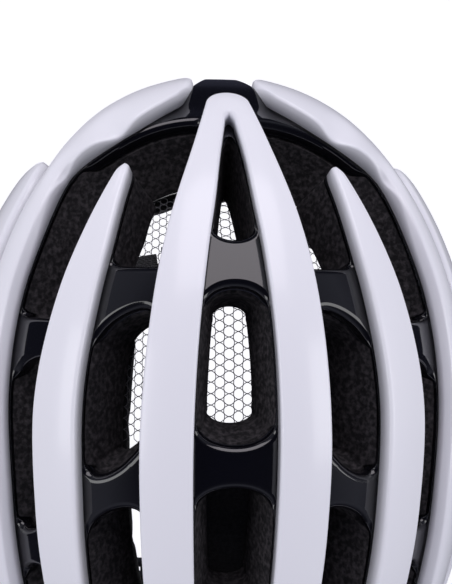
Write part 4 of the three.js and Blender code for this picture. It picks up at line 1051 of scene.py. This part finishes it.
def steady(direction):
    return lambda share: np.tile(np.array(direction, float), (len(share), 1))


def chin_face(share):
    """The chin strap's face turns from outwards to downwards as it runs under the jaw."""
    return np.stack([1 - 0.35 * share, 0 * share, -2.2 * share**1.4], axis=1)


def right_chin_face(share):
    return chin_face(share) * [-1, 1, 1]


def flip_x(points):
    return [(-x, y, z) for x, y, z in points]


front_way = [(80, -46, 14), (80, -44, -4), (79, -22, -22), (74.8, -3.5, -37.65)]
rear_way = [(71, 59, 12), (71.5, 55, -6), (76.5, 28, -22), (77.2, 7.5, -37.65)]
chin_way = lambda end_x: [(76, 2, -60.85), (74, -1, -74.85), (64, -17, -96), (44, -37, -116),
                          (end_x + 8, -48.4, -123), (end_x, -50, -124)]
left_chin, right_chin = chin_way(15.5), chin_way(24.5)
for side, sign in (("left", 1), ("right", -1)):
    turn_over = (lambda way: way) if sign > 0 else flip_x
    for end, way in (("front", front_way), ("rear", rear_way)):
        strap(f"{side}_{end}_webbing", f"{side}_{end}_strap", turn_over(way), steady((sign, 0.02, 0)),
              "helmet")
left_chin_webbing = strap("left_chin_webbing", "left_chin_strap", left_chin, chin_face, None, count=170)
strap("right_chin_webbing", "right_chin_strap", flip_x(right_chin), right_chin_face, "helmet", count=170)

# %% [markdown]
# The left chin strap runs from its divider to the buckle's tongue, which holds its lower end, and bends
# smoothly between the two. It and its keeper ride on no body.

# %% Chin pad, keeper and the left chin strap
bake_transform(left_chin_webbing)
SLEEVE_GAP = 0.8


def sleeve(points, face_of, first, last, wall, swell, rows=70, columns=64):
    """A closed tube round a strap between two shares of its length. Its inside clears the webbing all
    round, and its outside stands off by `wall` times `swell(share)`."""
    width, thick = WEB_WIDTH + 2 * SLEEVE_GAP, WEB_THICK + 2 * SLEEVE_GAP
    path = curve_through(points, 400)[0]
    share = np.linspace(first, last, rows)
    place = np.stack([np.interp(share, np.linspace(0, 1, len(path)), path[:, i]) for i in range(3)], 1)
    plump = wall * swell(np.linspace(0, 1, rows))
    inside = band(place, face_of(share), width, thick, columns, 0.45)
    outside = band(place, face_of(share), width + 2 * plump, thick + 2 * plump, columns, 0.5)
    return np.concatenate([outside, inside[::-1]])


def sewn_swell(t):
    """How far the chin pad stands off: welded at its ends, full between them and pinched by two seams."""
    full = 0.3 + 0.7 * (1 - np.abs(2 * t - 1) ** 6) ** 0.4
    return full * (1 - 0.4 * np.exp(-((t - 0.34) / 0.02) ** 2) - 0.4 * np.exp(-((t - 0.67) / 0.02) ** 2))


chin_pad_grid = sleeve(flip_x(right_chin), right_chin_face, 0.5, 0.86, 2.4, sewn_swell)
pad_piece("chin_pad", closed(chin_pad_grid, wrap_rows=True), "helmet")
keeper_swell = lambda t: 1 - 0.5 * np.abs(2 * t - 1) ** 8
keeper_grid = sleeve(left_chin, chin_face, 0.56, 0.62, 1.4, keeper_swell, rows=16)
keeper = piece("strap_keeper_moulded", closed(keeper_grid, wrap_rows=True).mesh("keeper"), rubber, None,
               ["strap_keeper"])
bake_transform(keeper)

# %% [markdown]
# ## Floor and light
# The helmet is shown against white, as in a light tent. The floor lies well below it, so its shadow is
# faint and the vents look through onto white. The tent that lights the helmet is pale at the horizon and
# dark overhead. Polished surfaces mirror a second, much darker tent instead, greyest about 27 degrees up
# and nearly black overhead, and they don't mirror the floor. The shell stays black that way, with a soft
# grey on its bridges.

# %% Floor and light
floor_mesh = Build().grid(block((-4000, -4000, -902), (4000, 4000, -900))).mesh("floor", smooth=False)
floor = bpy.data.objects.new("floor", floor_mesh)
bpy.context.scene.collection.objects.link(floor)
paper = finish("paper", (0.86, 0.86, 0.865), 0.9, Emission_Color=(1.0, 1.0, 1.0, 1), Emission_Strength=0.45)
floor.data.materials.append(paper)
floor.visible_glossy = False


def lamp(name, place, towards, size, power, colour=(1, 1, 1)):
    """A square area lamp that faces a point; sizes in metres, power in watts."""
    data = bpy.data.lights.new(name, "AREA")
    data.shape, data.size, data.energy, data.color = "SQUARE", size, power, colour
    made = bpy.data.objects.new(name, data)
    made.location = place
    made.rotation_euler = (Vector(towards) - Vector(place)).to_track_quat("-Z", "Y").to_euler()
    bpy.context.scene.collection.objects.link(made)


lamp("front_softbox", (0.0, -1.35, 1.15), (0, 0, 0.1), 1.2, 8.5, (1.0, 0.94, 1.0))
lamp("left_softbox", (1.1, -0.1, 1.05), (0, 0, 0.1), 0.7, 3.0)
lamp("right_softbox", (-1.1, -0.1, 1.05), (0, 0, 0.1), 0.7, 3.0)
world = bpy.data.worlds.new("world")
world.use_nodes = True
tree = world.node_tree
direction = tree.nodes.new("ShaderNodeTexCoord")
parts = tree.nodes.new("ShaderNodeSeparateXYZ")
tree.links.new(direction.outputs["Generated"], parts.inputs["Vector"])
lit = ramp(tree, parts.outputs["Z"], (0.55, (0.86, 0.86, 0.93)), (0.93, (0.03, 0.035, 0.07)))
levels = ((0.0, 0.03), (0.2, 0.07), (0.45, 0.20), (0.62, 0.16), (0.8, 0.05), (1.0, 0.02))
greys = [(at, (grey, grey * 1.03, grey * 1.25 + 0.01)) for at, grey in levels]
mirrored = ramp(tree, parts.outputs["Z"], *greys)
path_kind = tree.nodes.new("ShaderNodeLightPath")
choose = tree.nodes.new("ShaderNodeMix")
choose.data_type = "RGBA"
tree.links.new(path_kind.outputs["Is Glossy Ray"], choose.inputs["Factor"])
tree.links.new(lit, choose.inputs["A"])
tree.links.new(mirrored, choose.inputs["B"])
tree.links.new(choose.outputs["Result"], tree.nodes["Background"].inputs["Color"])
tree.nodes["Background"].inputs["Strength"].default_value = 0.95
bpy.context.scene.world = world
bpy.context.scene.view_settings.view_transform = "Standard"
